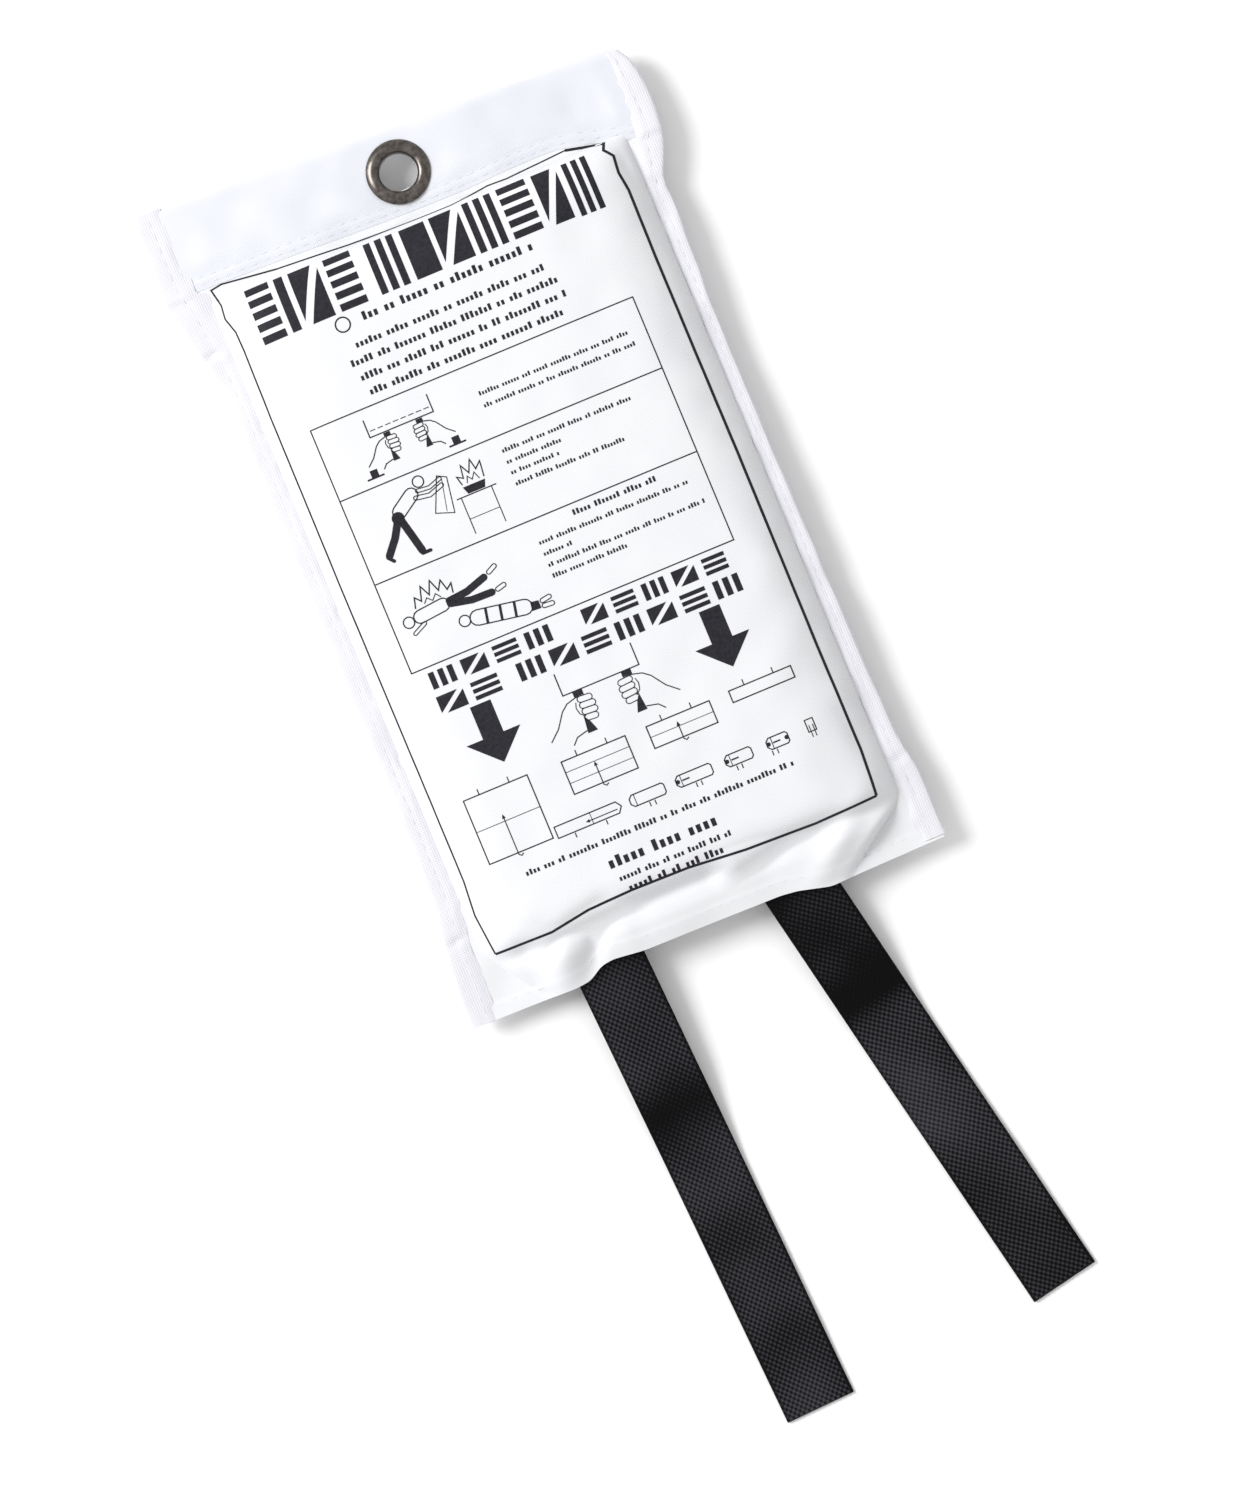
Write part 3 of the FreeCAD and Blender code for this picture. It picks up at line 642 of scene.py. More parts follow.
def band_puff(x, y, share):
    """How much the band's leaves stand off their plane: pressed at the stitches and at the eyelet."""
    above = y - band_low(x)
    top = BAND_TOP[0] + (BAND_TOP[1] - BAND_TOP[0]) * share
    loose = smooth_step(above, BAND_ROWS[1], BAND_ROWS[1] + 5) * smooth_step(top - y, 0, 3)
    around = smooth_step(np.hypot(x, y), EYELET_PRESS - 2, EYELET_PRESS + 8)
    puff = (0.3 + 0.08 * ripple(x, y, 41, 20, 60) + folds_at(BAND_FOLDS, x, y)) * loose * around
    for row in BAND_ROWS:
        puff = puff - 0.16 * np.exp(-((above - row) / 0.7) ** 2)
    return puff


def make_header_band():
    share = np.linspace(0, 1, 181)
    low = band_low(-86.5 + 174 * share)
    top = BAND_TOP[0] + (BAND_TOP[1] - BAND_TOP[0]) * share
    thick = 2 * CLOTH
    leaf = np.linspace(0, 1, 36)
    turns = np.linspace(0, math.pi, 9)[1:-1]
    rows = []
    for up in leaf:
        level = thick - 0.45 * (1 - smooth_step((top - thick - low) * up, -0.3, 2.4))
        rows.append((low + (top - thick - low) * up, level, 1))
    for turn in turns:
        rows.append((top - thick + thick * math.sin(turn), thick * math.cos(turn) * np.ones_like(share), 0))
    for up in leaf[::-1]:
        rows.append((low + (top - thick - low) * up, -thick * np.ones_like(share), -1))
    y = np.stack([row[0] for row in rows])
    left = eased(LEFT_OUTLINE, y) + 0.9
    right = eased(RIGHT_OUTLINE, y) - 0.9
    x = left + (right - left) * share
    way = np.array([row[2] for row in rows])[:, None]
    z = np.stack([row[1] for row in rows]) + seam(x, y) + way * band_puff(x, y, share)
    outer = np.stack([x, y, z], 2)
    normal = normals_of(outer)
    if normal[5, 90, 2] < 0:
        normal = -normal
    inner = outer - normal * CLOTH * 0.9
    middle = (outer[:-1, :-1] + outer[1:, 1:]) / 2
    keep = np.hypot(middle[..., 0], middle[..., 1]) > EYELET_HOLE
    piece = shell("header_band_cloth", outer, inner, keep)
    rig.replaces(piece, "header_band")
    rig.slot(piece, "pouch_fabric")
    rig.sheet(piece, flat=(0.178, 0.066), held="folded", rests_on=["front_panel_cloth", "back_panel_cloth"])
    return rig.ride(piece, "pouch")


BINDING_THICK = 0.55
CREASE = 0.4  # how round the binding's outer edge is: 1 for a half circle
BINDING_TUCKS = [Fold(-81.2, -33, 10, 3.4, 1.3, -0.7), Fold(-80.8, -245.8, 10, 3.2, 1.3, -0.7),
                 Fold(80.5, -36, -20, 4, 1.6, -0.5), Fold(79, -246, 15, 4, 1.5, -0.5)]
# A binding: its upper end, the header band's lower edge there, how far out its inner edge is on the header
# and on the panels, how much less it covers by the mouth, and the width in metres that it was cut to
SideBinding = namedtuple("SideBinding", "side outline way top step header_inner inner widens seed cut")
BINDINGS = [
    SideBinding("left", LEFT_OUTLINE, -1, 19.6, -12.0, 78.4, 74.7, 3.0, 51, 0.019),
    SideBinding("right", RIGHT_OUTLINE, 1, 9.8, -20.3, 78.6, 75.2, 0.5, 61, 0.0145),
]


def make_binding(binding):
    """A soft strip folded round one side's edges, pinched along its row of stitches."""
    y = np.linspace(binding.top, MOUTH, 330)
    over_band = smooth_step(y, binding.step - 1.2, binding.step + 0.8)
    half = CLOTH + over_band * CLOTH + BINDING_THICK
    edge = np.abs(eased(binding.outline, y)) + 0.1 * ripple(0 * y, y, binding.seed, 12, 40)
    inner_edge = binding.inner + binding.widens * smooth_step(-y, 230, 252)
    inner_edge = inner_edge + (binding.header_inner - binding.inner) * over_band
    inner_edge = inner_edge + 0.15 * ripple(0 * y, y, binding.seed + 1, 12, 40)
    pinch = 0.30 * ripple(0 * y, y, binding.seed + 2, 5, 15)
    share = np.linspace(0, 1, 11)
    turns = np.linspace(0, math.pi, 8)[1:-1]
    quilt = 0.11 * np.abs(np.sin(math.pi * share * 2)) ** 0.8
    quilt -= 0.5 * (1 - smooth_step(share, -0.04, 0.4))
    face = [(inner_edge + (edge - CREASE * half - inner_edge) * across, half + high * (1 + pinch))
            for across, high in zip(share, quilt)]
    fold = [(edge - CREASE * half * (1 - math.sin(turn)), half * math.cos(turn)) for turn in turns]
    columns = face + fold + [(place, -height) for place, height in reversed(face)]
    x = np.stack([column[0] for column in columns], 1) * binding.way
    y = np.repeat(y[:, None], x.shape[1], axis=1)
    wave = 0.13 * ripple(x * 0.3, y, binding.seed + 3, 12, 34) * smooth_step(np.abs(x), ROOT, ROOT + 5)
    z = np.stack([column[1] for column in columns], 1) + seam(x, y) + wave + folds_at(BINDING_TUCKS, x, y)
    outer = np.stack([x, y, z], 2)
    normal = normals_of(outer)
    if normal[100, 4, 2] < 0:
        normal = -normal
    piece = shell(f"{binding.side}_binding_cloth", outer, outer - normal * BINDING_THICK)
    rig.replaces(piece, f"{binding.side}_side_binding")
    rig.slot(piece, "binding_tape")
    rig.sheet(piece, flat=(binding.cut, 0.295), held="folded",
             rests_on=["front_panel_cloth", "back_panel_cloth"])
    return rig.ride(piece, "pouch")


front_panel = make_front_panel()
back_panel = make_back_panel()
header_band = make_header_band()
bindings = {binding.side: make_binding(binding) for binding in BINDINGS}


# Eyelet

# Sections, as radius and height
BARREL = [
    (10.90, 1.25), (10.98, 1.50), (10.85, 1.78), (10.45, 2.10), (9.90, 2.45), (9.35, 2.70), (8.70, 2.80),
    (7.95, 2.76), (7.30, 2.58), (6.80, 2.22), (6.55, 1.75), (6.50, 1.30), (6.50, -2.10), (6.60, -2.42),
    (6.95, -2.60), (8.10, -2.58), (8.38, -2.38), (8.35, -2.08), (7.20, -2.04), (7.00, -1.90), (7.00, 1.05),
    (7.20, 1.20), (10.60, 1.20),
]
WASHER = [(7.10, -1.95), (10.20, -2.00), (10.42, -1.85), (10.45, -1.50), (10.20, -1.22), (7.10, -1.20)]
TURNED_SIDES = 96


def turned(name, profile):
    """A ring turned round the eyelet's axis."""
    count, sides = len(profile), TURNED_SIDES
    points = [(r * math.cos(2 * math.pi * k / sides), r * math.sin(2 * math.pi * k / sides), z)
              for k in range(sides) for r, z in profile]
    faces = [[k * count + i, k * count + (i + 1) % count, (k + 1) % sides * count + (i + 1) % count,
              (k + 1) % sides * count + i] for k in range(sides) for i in range(count)]
    piece = mesh_piece(name, points, faces, 35)
    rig.slot(piece, "eyelet_metal")
    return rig.ride(piece, "pouch")


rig.replaces(turned("eyelet_front", BARREL), "eyelet_barrel")
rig.replaces(turned("eyelet_back", WASHER), "eyelet_washer")


# Stitches

STITCH, STITCH_PITCH = 3.0, 4.2  # the length that shows, and the length from one to the next
THREAD_WIDE, THREAD_HIGH, THREAD_SIDES = 0.5, 0.34, 6
# A stitch's section along its length: share of the length, size, and how far it is lifted or sunk
STITCH_STATIONS = [(0.0, 0.45, -0.7), (0.12, 0.9, -0.15), (0.5, 1.0, 0.1), (0.88, 0.9, -0.15),
                   (1.0, 0.45, -0.7)]


def stitch_between(start, end):
    """One stitch: a short length of thread that dives into the fabric at both ends."""
    start, end = Vector(start), Vector(end)
    sides = THREAD_SIDES
    along = end - start
    across = along.cross(Vector((0, 0, 1))).normalized()
    up = across.cross(along).normalized()
    if up.z < 0:
        up = -up
    points, faces = [], []
    for share, size, lift in STITCH_STATIONS:
        middle = start + along * share + up * lift * THREAD_HIGH / 2
        for k in range(sides):
            turn = 2 * math.pi * k / sides
            points.append(middle + across * math.cos(turn) * size * THREAD_WIDE / 2
                          + up * math.sin(turn) * size * THREAD_HIGH / 2)
    for ring in range(len(STITCH_STATIONS) - 1):
        for k in range(sides):
            a, b = ring * sides + k, ring * sides + (k + 1) % sides
            faces.append([a, b, b + sides, a + sides])
    faces.append(list(range(sides))[::-1])
    faces.append([len(points) - sides + k for k in range(sides)])
    return points, faces


def stitch_row(surface, corners, below=False, seed=0, lift=0.02):
    """A row of stitches through these places, lying on a finished piece."""
    draw = random.Random(seed)
    parts = []
    sign = -1 if below else 1
    for (ax, ay), (bx, by) in zip(corners, corners[1:]):
        length = math.hypot(bx - ax, by - ay)
        count = max(1, int(length / STITCH_PITCH))
        pitch = length / count
        for i in range(count):
            begin = (i + 0.5) * pitch - STITCH / 2 + draw.uniform(-0.12, 0.12)
            drift = draw.uniform(-0.1, 0.1)
            ends = []
            for travelled in (begin, begin + STITCH):
                x = ax + (bx - ax) * travelled / length - (by - ay) / length * drift
                y = ay + (by - ay) * travelled / length + (bx - ax) / length * drift
                z = height_on(surface, x, y, below)
                if z is not None:
                    ends.append((x, y, z + sign * lift))
            if len(ends) == 2:
                points, faces = stitch_between(*ends)
                if below:
                    middle = (ends[0][2] + ends[1][2]) / 2
                    points = [Vector((p.x, p.y, 2 * middle - p.z)) for p in points]
                parts.append((points, faces))
    return parts


def thread_piece(name, parts, node, body, thread="white_thread"):
    piece = joined(name, parts, 80)
    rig.replaces(piece, node)
    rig.slot(piece, thread)
    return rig.ride(piece, body)


def side_row(binding):
    """The middle of one binding from the header band down to the mouth."""
    places = [binding.top - 1.5, binding.step + 1.5, binding.step - 2.5, -32, -40, -60, -110, -170, -232,
              -246, -260, MOUTH + 2]
    row = []
    for y in places:
        inner = binding.header_inner if y > binding.step else ROOT
        row.append((binding.way * (inner + abs(float(eased(binding.outline, y)))) / 2, y))
    return row


band_surface = surface_of(header_band)
front_surface = surface_of(front_panel)
back_surface = surface_of(back_panel)
band_stitches = []
for below in (False, True):
    for number, row in enumerate(BAND_ROWS):
        places = [-77.5] + [x for x, y in BAND_LOW[1:-1]] + [79.5]
        ends = [(x, float(band_low(x)) + row) for x in places]
        band_stitches += stitch_row(band_surface, ends, below, seed=number, lift=-0.05)
thread_piece("header_thread", band_stitches, "header_stitching", "pouch")
for binding in BINDINGS:
    surface = surface_of(bindings[binding.side])
    side_stitches = []
    for below in (False, True):
        side_stitches += stitch_row(surface, side_row(binding), below, binding.seed, lift=-0.08)
    thread_piece(f"{binding.side}_side_thread", side_stitches, f"{binding.side}_side_stitching", "pouch")
hem_row = [(x, y + HEM - 0.7) for x, y in [(-72.5, -275.2)] + LIP[1:-1] + [(72.5, -276.3)]]
hem_stitches = stitch_row(front_surface, hem_row, seed=3, lift=-0.13)
thread_piece("front_hem_thread", hem_stitches, "front_hem_stitching", "pouch")
back_hem_row = [(x, y + BACK_SHORT + HEM) for x, y in [(-64, -274)] + LIP[2:-2] + [(64, -276.5)]]
thread_piece("back_hem_thread", stitch_row(back_surface, back_hem_row, seed=4), "back_hem_stitching", "pouch")


# Blanket

PLY_STEP = 0.36  # from ply to ply in the pack
PLY_THICK = 0.2
PLIES_LONG, PLIES_WIDE = 5, 9  # folded first across its length, then across its width
PACK_LOW, PACK_HIGH = (Vector(corner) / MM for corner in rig.box("folded_blanket"))
PACK_SLACK = 0.4  # from the pack's outer shape to the cloth


def accordion(panels, panel, pitch, per_panel, per_fold):
    """A folded strip seen from its edge: places across, heights, and the strip's own upward direction."""
    places, heights, ups = [], [], []
    radius = pitch / 2
    for number in range(panels):
        way = 1 if number % 2 == 0 else -1
        level = (number + 0.5) * pitch
        for share in np.linspace(-1, 1, per_panel):
            places.append(way * share * (panel / 2 - radius))
            heights.append(level)
            ups.append((0.0, float(way)))
        if number < panels - 1:
            for turn in np.linspace(0, math.pi, per_fold + 2)[1:-1]:
                places.append(way * (panel / 2 - radius + radius * math.sin(turn)))
                heights.append(level + radius - radius * math.cos(turn))
                ups.append((-way * math.sin(turn), way * math.cos(turn)))
    return np.array(places), np.array(heights), np.array(ups)


def make_blanket():
    """The whole cloth, folded into a pack that its pouch presses round at its edges."""
    width, length = PACK_HIGH.x - PACK_LOW.x - 2 * PACK_SLACK, PACK_HIGH.y - PACK_LOW.y - 2 * PACK_SLACK
    long_at, long_up, long_way = accordion(PLIES_LONG, length, PLY_STEP, 12, 4)
    layer = PLIES_LONG * PLY_STEP
    wide_at, wide_up, wide_way = accordion(PLIES_WIDE, width, layer, 11, 5)
    grids = []
    for side in (1, -1):
        along = long_at + side * PLY_THICK / 2 * long_way[:, 0]
        lift = (long_up + side * PLY_THICK / 2 * long_way[:, 1] - layer / 2) * 0.93
        x = wide_at[None, :] + wide_way[:, 0][None, :] * lift[:, None]
        z = wide_up[None, :] + wide_way[:, 1][None, :] * lift[:, None]
        y = np.repeat(along[:, None], x.shape[1], axis=1)
        grids.append(np.stack([x, y, z], 2))
    thick = PLIES_WIDE * layer
    room = PACK_HIGH.z - PACK_LOW.z - 0.3
    pressed = []
    for grid in grids:
        x, y, z = grid[..., 0], grid[..., 1], grid[..., 2] - thick / 2
        level = np.clip(np.abs(z) / (thick / 2), 0, 0.995)
        tuck = 6.4 * (1 - np.sqrt(1 - level ** 2.2))
        uneven = 0.5 * ripple(z * 3.0, 0 * z, 71, 3, 14)
        x = x * (1 - (tuck + 0.5 + uneven * 0.5) / (width / 2))
        y = y * (1 - (tuck + 0.5 + uneven * 0.5) / (length / 2))
        edge = np.abs(x / (width / 2)) ** 14 + np.abs(y / (length / 2)) ** 20
        z = z * room / thick * (1 - 0.10 * np.clip(edge, 0, 1))
        z = z + 0.08 * ripple(x, y, 72, 20, 60)
        pressed.append(np.stack([x + (PACK_LOW.x + PACK_HIGH.x) / 2, y + (PACK_LOW.y + PACK_HIGH.y) / 2,
                                 z + (PACK_LOW.z + PACK_HIGH.z) / 2], 2))
    piece = shell("blanket_cloth", pressed[0], pressed[1])
    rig.replaces(piece, "folded_blanket")
    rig.slot(piece, "glass_cloth")
    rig.sheet(piece, flat=(1.2, 1.2), held="folded", rests_on=["back_panel_cloth"])
    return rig.ride(piece, "blanket")


blanket = make_blanket()
blanket_surface = surface_of(blanket)
BLANKET_HEM = 10.5  # from the pack's lower end to the blanket's hem stitches
hem_y = PACK_LOW.y + BLANKET_HEM
blanket_stitches = []
for start, end in [(-60, -52), (-20, 12), (46, 60)]:  # between the tapes and beside them
    blanket_stitches += stitch_row(blanket_surface, [(start, hem_y), (end, hem_y)], seed=8)
thread_piece("blanket_hem_thread", blanket_stitches, "blanket_hem_stitching", "blanket")

BOX_NEAR, BOX_FAR = 29.0, 54.0  # the two ends of the box of stitches, from the mouth inwards
BOX_HALF = 9.5  # its half width


def on_tape(tape, across, inwards):
    """A place on a tape's sewn end."""
    turn = math.radians(tape.splay)
    return (tape.middle + across * math.cos(turn) - inwards * math.sin(turn),
            MOUTH + across * math.sin(turn) + inwards * math.cos(turn))


def sew_down(tape):
    """A box of stitches with a cross in it."""
    surface = surface_of(bpy.data.objects[f"{tape.side}_tape"])
    corners = [on_tape(tape, across, inwards) for across, inwards in (
        (-BOX_HALF, BOX_FAR), (BOX_HALF, BOX_FAR), (BOX_HALF, BOX_NEAR), (-BOX_HALF, BOX_NEAR))]
    stitches = []
    for row in (corners + corners[:1], corners[::2], corners[1::2]):
        stitches += stitch_row(surface, row, seed=9, lift=0.05)
    thread_piece(f"{tape.side}_tape_thread", stitches, f"{tape.side}_tape_stitching", "blanket",
                 "black_thread")


for tape in TAPES:
    sew_down(tape)


# Print. Every shape is in millimetres on the flat front; lines are strokes, and filled shapes are areas.

INK_HIGH = 0.08
INK_STEP = 1.0  # the ink follows the fabric from point to point this far apart
RING_SIDES = 18


class Print:
    """Collects the shapes of the print, then lays them on the front panel."""

    def __init__(self):
        self.strokes = []
        self.areas = []

    def line(self, points, width=0.35, closed=False):
        points = [tuple(p) for p in points]
        self.strokes.append((points + points[:1] if closed else points, width))

    def area(self, points):
        self.areas.append([tuple(p) for p in points])

    def frame(self, x0, y0, x1, y1, width=0.35):
        self.line([(x0, y0), (x1, y0), (x1, y1), (x0, y1)], width, closed=True)

    def bar(self, x0, y0, x1, y1):
        self.area([(x0, y0), (x1, y0), (x1, y1), (x0, y1)])

    def ring(self, x, y, radius, width=0.35, filled=False):
        turns = [2 * math.pi * k / RING_SIDES for k in range(RING_SIDES)]
        points = [(x + radius * math.cos(turn), y + radius * math.sin(turn)) for turn in turns]
        if filled:
            self.area(points)
        else:
            self.line(points, width, closed=True)

    def limb(self, points, radius, filled=True, width=0.35):
        """A rounded shape along a bent line, filled or in outline."""
        left, right = [], []
        for i, (x, y) in enumerate(points):
            before, after = points[max(i - 1, 0)], points[min(i + 1, len(points) - 1)]
            length = math.hypot(after[0] - before[0], after[1] - before[1]) or 1
            nx, ny = -(after[1] - before[1]) / length, (after[0] - before[0]) / length
            left.append((x + nx * radius, y + ny * radius))
            right.append((x - nx * radius, y - ny * radius))
        ends = []
        for at, side in ((points[-1], left[-1]), (points[0], right[0])):
            start = math.atan2(side[1] - at[1], side[0] - at[0])
            ends.append([(at[0] + radius * math.cos(start - math.pi * k / 6),
                          at[1] + radius * math.sin(start - math.pi * k / 6)) for k in range(1, 6)])
        outline = left + ends[0] + right[::-1] + ends[1]
        if filled:
            self.area(outline)
        else:
            self.line(outline, width, closed=True)

    def block(self, x0, y0, x1, y1, form):
        """A plain block where a large character would be: whole, or cut into slats, posts or two wedges."""
        wide, high = x1 - x0, y1 - y0
        if form == "whole":
            self.bar(x0, y0, x1, y1)
        elif form == "slats":
            count = 5 if high > 10 else 3
            for number in range(count):
                low = y0 + high * number / (count - 0.4)
                self.bar(x0, low, x1, low + 0.6 * high / (count - 0.4))
        elif form == "posts":
            for number in range(3):
                self.bar(x0 + wide * number / 2.6, y0, x0 + wide * (number + 0.6) / 2.6, y1)
        else:
            self.area([(x0 + wide * 0.2, y0), (x1, y0), (x1, y1 - high * 0.1)])
            self.area([(x0, y0 + high * 0.1), (x1 - wide * 0.2, y1), (x0, y1)])

    def words(self, x0, x1, y, high, seed):
        """A line of print: a small plain block where each character would be."""
        draw = random.Random(seed)
        wide, pitch = 0.42 * high, 0.7 * high
        x, left = x0, draw.randint(2, 8)
        while x + wide <= x1:
            tall = high * draw.choice((0.7, 0.7, 1.0))
            self.bar(x, y - high / 2, x + wide, y - high / 2 + tall)
            left -= 1
            x += pitch if left else pitch * 1.9
            left = left or draw.randint(2, 8)


def pieces_of_line(points, step):
    """The line with more points on its long runs, each with the direction that is square to it."""
    closed = points[0] == points[-1]
    result = []
    for (ax, ay), (bx, by) in zip(points, points[1:]):
        count = max(1, int(math.ceil(math.hypot(bx - ax, by - ay) / step)))
        result += [(ax + (bx - ax) * k / count, ay + (by - ay) * k / count) for k in range(count)]
    if not closed:
        result.append(points[-1])
    return result, closed


def stroke_mesh(points, width, height_at):
    """A closed thin ribbon of ink along a line."""
    places, closed = pieces_of_line(points, INK_STEP)
    count = len(places)
    out, faces = [], []
    for i, (x, y) in enumerate(places):
        before = places[i - 1] if i or closed else places[0]
        after = places[(i + 1) % count] if i < count - 1 or closed else places[-1]
        ax, ay = x - before[0], y - before[1]
        bx, by = after[0] - x, after[1] - y
        la, lb = math.hypot(ax, ay), math.hypot(bx, by)
        if la < 1e-9:
            ax, ay, la = bx, by, lb
        if lb < 1e-9:
            bx, by, lb = ax, ay, la
        mx, my = -(ay / la + by / lb), ax / la + bx / lb
        lm = math.hypot(mx, my) or 1
        mitre = min(1 / max((mx * -ay / la + my * ax / la) / lm, 0.35), 2.2)
        for side in (1, -1):
            px = x + side * mx / lm * width / 2 * mitre
            py = y + side * my / lm * width / 2 * mitre
            z = height_at(px, py)
            out += [(px, py, z + INK_HIGH), (px, py, z - INK_HIGH)]
    loops = count if closed else count - 1
    for i in range(loops):
        a, b = 4 * i, 4 * ((i + 1) % count)
        faces += [[a, a + 2, b + 2, b], [a + 1, b + 1, b + 3, a + 3], [a, b, b + 1, a + 1],
                  [a + 2, a + 3, b + 3, b + 2]]
    if not closed:
        last = 4 * (count - 1)
        faces += [[0, 1, 3, 2], [last, last + 2, last + 3, last + 1]]
    return out, faces


def area_mesh(outline, height_at):
    """A filled shape, cut small enough to follow the fabric, as a closed thin solid."""
    flat = bmesh.new()
    flat.faces.new([flat.verts.new((x, y, 0)) for x, y in outline])
    bmesh.ops.triangulate(flat, faces=flat.faces[:])
    for axis, way in enumerate((Vector((1, 0, 0)), Vector((0, 1, 0)))):
        low, high = (pick(point[axis] for point in outline) for pick in (min, max))
        count = int(math.ceil((high - low) / INK_STEP))
        for number in range(1, count):
            bmesh.ops.bisect_plane(flat, geom=flat.verts[:] + flat.edges[:] + flat.faces[:], dist=1e-4,
                                   plane_co=way * (low + (high - low) * number / count), plane_no=way)
    bmesh.ops.recalc_face_normals(flat, faces=flat.faces[:])
    flat.verts.index_update()
    count = len(flat.verts)
    heights = [height_at(v.co.x, v.co.y) for v in flat.verts]
    points = [(v.co.x, v.co.y, z + INK_HIGH) for v, z in zip(flat.verts, heights)]
    points += [(v.co.x, v.co.y, z - INK_HIGH) for v, z in zip(flat.verts, heights)]
    faces = []
    for face in flat.faces:
        corners = [v.index for v in face.verts]
        faces += [corners, [c + count for c in reversed(corners)]]
    for edge in flat.edges:
        if len(edge.link_faces) == 1:
            loop = edge.link_loops[0]
            a, b = loop.vert.index, loop.link_loop_next.vert.index
            faces.append([b, a, a + count, b + count])
    flat.free()
    return points, faces


ink = Print()

# The border, drawn straight on flat fabric, wanders where the fabric does.
BORDER_TOP_LEFT, BORDER_TOP_RIGHT = (-50, -14.4), (54.3, -14.7)
BORDER_LOW_LEFT, BORDER_LOW_RIGHT = (-70.6, -254.6), (67.4, -254.5)
ink.line([BORDER_TOP_LEFT, (-69.3, -11.9), (-73.3, -12.5), (-72.0, -18.7), (-72.5, -23.6), (-70.8, -29.2),
          (-70.6, -36), (-71, -60), (-71.2, -120), (-71, -190), (-71, -228), (-72, -240), (-71.2, -248),
          BORDER_LOW_LEFT], 0.55)
ink.line([BORDER_TOP_LEFT, (-25, -16), (-0.7, -16.9), (12, -17.2), (25.8, -15.7), (32.6, -16.0),
          BORDER_TOP_RIGHT], 0.45)
ink.line([BORDER_TOP_RIGHT, (67.2, -17.7), (66.1, -20.1), (68.5, -23.2), (67.8, -29.3), (68.7, -36)], 0.95)
ink.line([(68.7, -36), (68.4, -60), (68.6, -130), (68.3, -200), (68.5, -238), BORDER_LOW_RIGHT], 0.95)
ink.line([BORDER_LOW_LEFT, (-50, -254.8), (-36, -252.6), (-20, -252.0), (0, -252.4), (20, -254.2),
          (45, -255.2), BORDER_LOW_RIGHT], 0.85)

# Heading: a plain block for each character
HEADING = [
    (-63.2, -54.8, "slats"), (-52.8, -49.6, "whole"), (-47.6, -37.4, "wedges"), (-35.1, -25.6, "slats"),
    (-20.6, -10.2, "posts"), (-7.8, 1.2, "whole"), (3.0, 13.2, "wedges"), (15.0, 25.2, "posts"),
    (27.4, 37.6, "slats"), (40.0, 48.6, "wedges"), (50.8, 59.4, "posts"),
]
HEADING_LOW = [(-64, -37.6), (0, -37.2), (30, -37.4), (60, -39.2)]
HEADING_HIGH = [(-64, -17.2), (-10, -18.8), (30, -18.6), (60, -19.6)]
for x0, x1, form in HEADING:
    ink.block(x0, eased(HEADING_LOW, x0), x1, eased(HEADING_HIGH, x0), form)

# Small print: the height of its characters, a first seed, and each row's two ends and its place along Y
SMALL_PRINT = [
    (2.9, 1, [(-29.5, 32.6, -41.2)]),
    (2.3, 10, [(-35.2, 33.1, -49.2), (-39, 36.1, -54.6), (-37.8, 36.4, -60), (-36.8, 34.6, -65.4)]),
    (1.5, 20, [(-3.6, 51.5, -80), (-3.6, 51.5, -84.3)]),
    (1.5, 30, [(-3.8, 43, -100.5), (-3.8, 16, -104.5), (-3.8, 14, -108.3), (-3.8, 36, -112.3)]),
    (1.9, 40, [(10, 40, -128.5)]),
    (1.5, 41, [(-4.2, 50, -133.5), (-4.2, 6, -137.5), (-4.2, 52, -141.5), (-4.2, 23, -145.4)]),
    (1.9, 60, [(-50.5, 46, -233.4)]),
    (3.8, 61, [(-23.8, 19.5, -241)]),
    (1.9, 62, [(-22.4, 17.8, -246.9)]),
    (2.5, 63, [(-20.6, 16.2, -251)]),
]
for high, seed, rows in SMALL_PRINT:
    for number, (x0, x1, y) in enumerate(rows):
        ink.words(x0, x1, y, high, seed + number)
ink.ring(-36.6, -41.4, 2.5, 0.5)

# Table of three steps
TABLE = (-60.2, -157.4, 56.0, -69.8)
ink.frame(*TABLE, 0.42)
for y in (-95.4, -125.5):
    ink.line([(TABLE[0], y), (TABLE[2], y)], 0.42)

# Call to pull, in wide blocks
WIDE_ROWS = [(-165.2, -159.4, [(-55.3, -9.3, 4), (-0.3, 54, 5)]),
             (-174.0, -167.8, [(-55.8, -31.2, 2), (-27.2, 55.5, 7)])]
WIDE_FORMS = ("slats", "posts", "wedges")
for low, high, words in WIDE_ROWS:
    for start, end, count in words:
        pitch = (end - start) / count
        for number in range(count):
            x0 = start + number * pitch
            ink.block(x0, low, x0 + pitch - 2.8, high, WIDE_FORMS[(number + count) % 3])

# Arrows
for x, top in ((-42.9, -175.3), (39.6, -175.3)):
    shaft, head, neck, tip = 3.7, 9.7, top - 11.5, top - 21
    ink.area([(x - shaft, top), (x + shaft, top), (x + shaft, neck), (x + head, neck), (x, tip),
              (x - head, neck), (x - shaft, neck)])


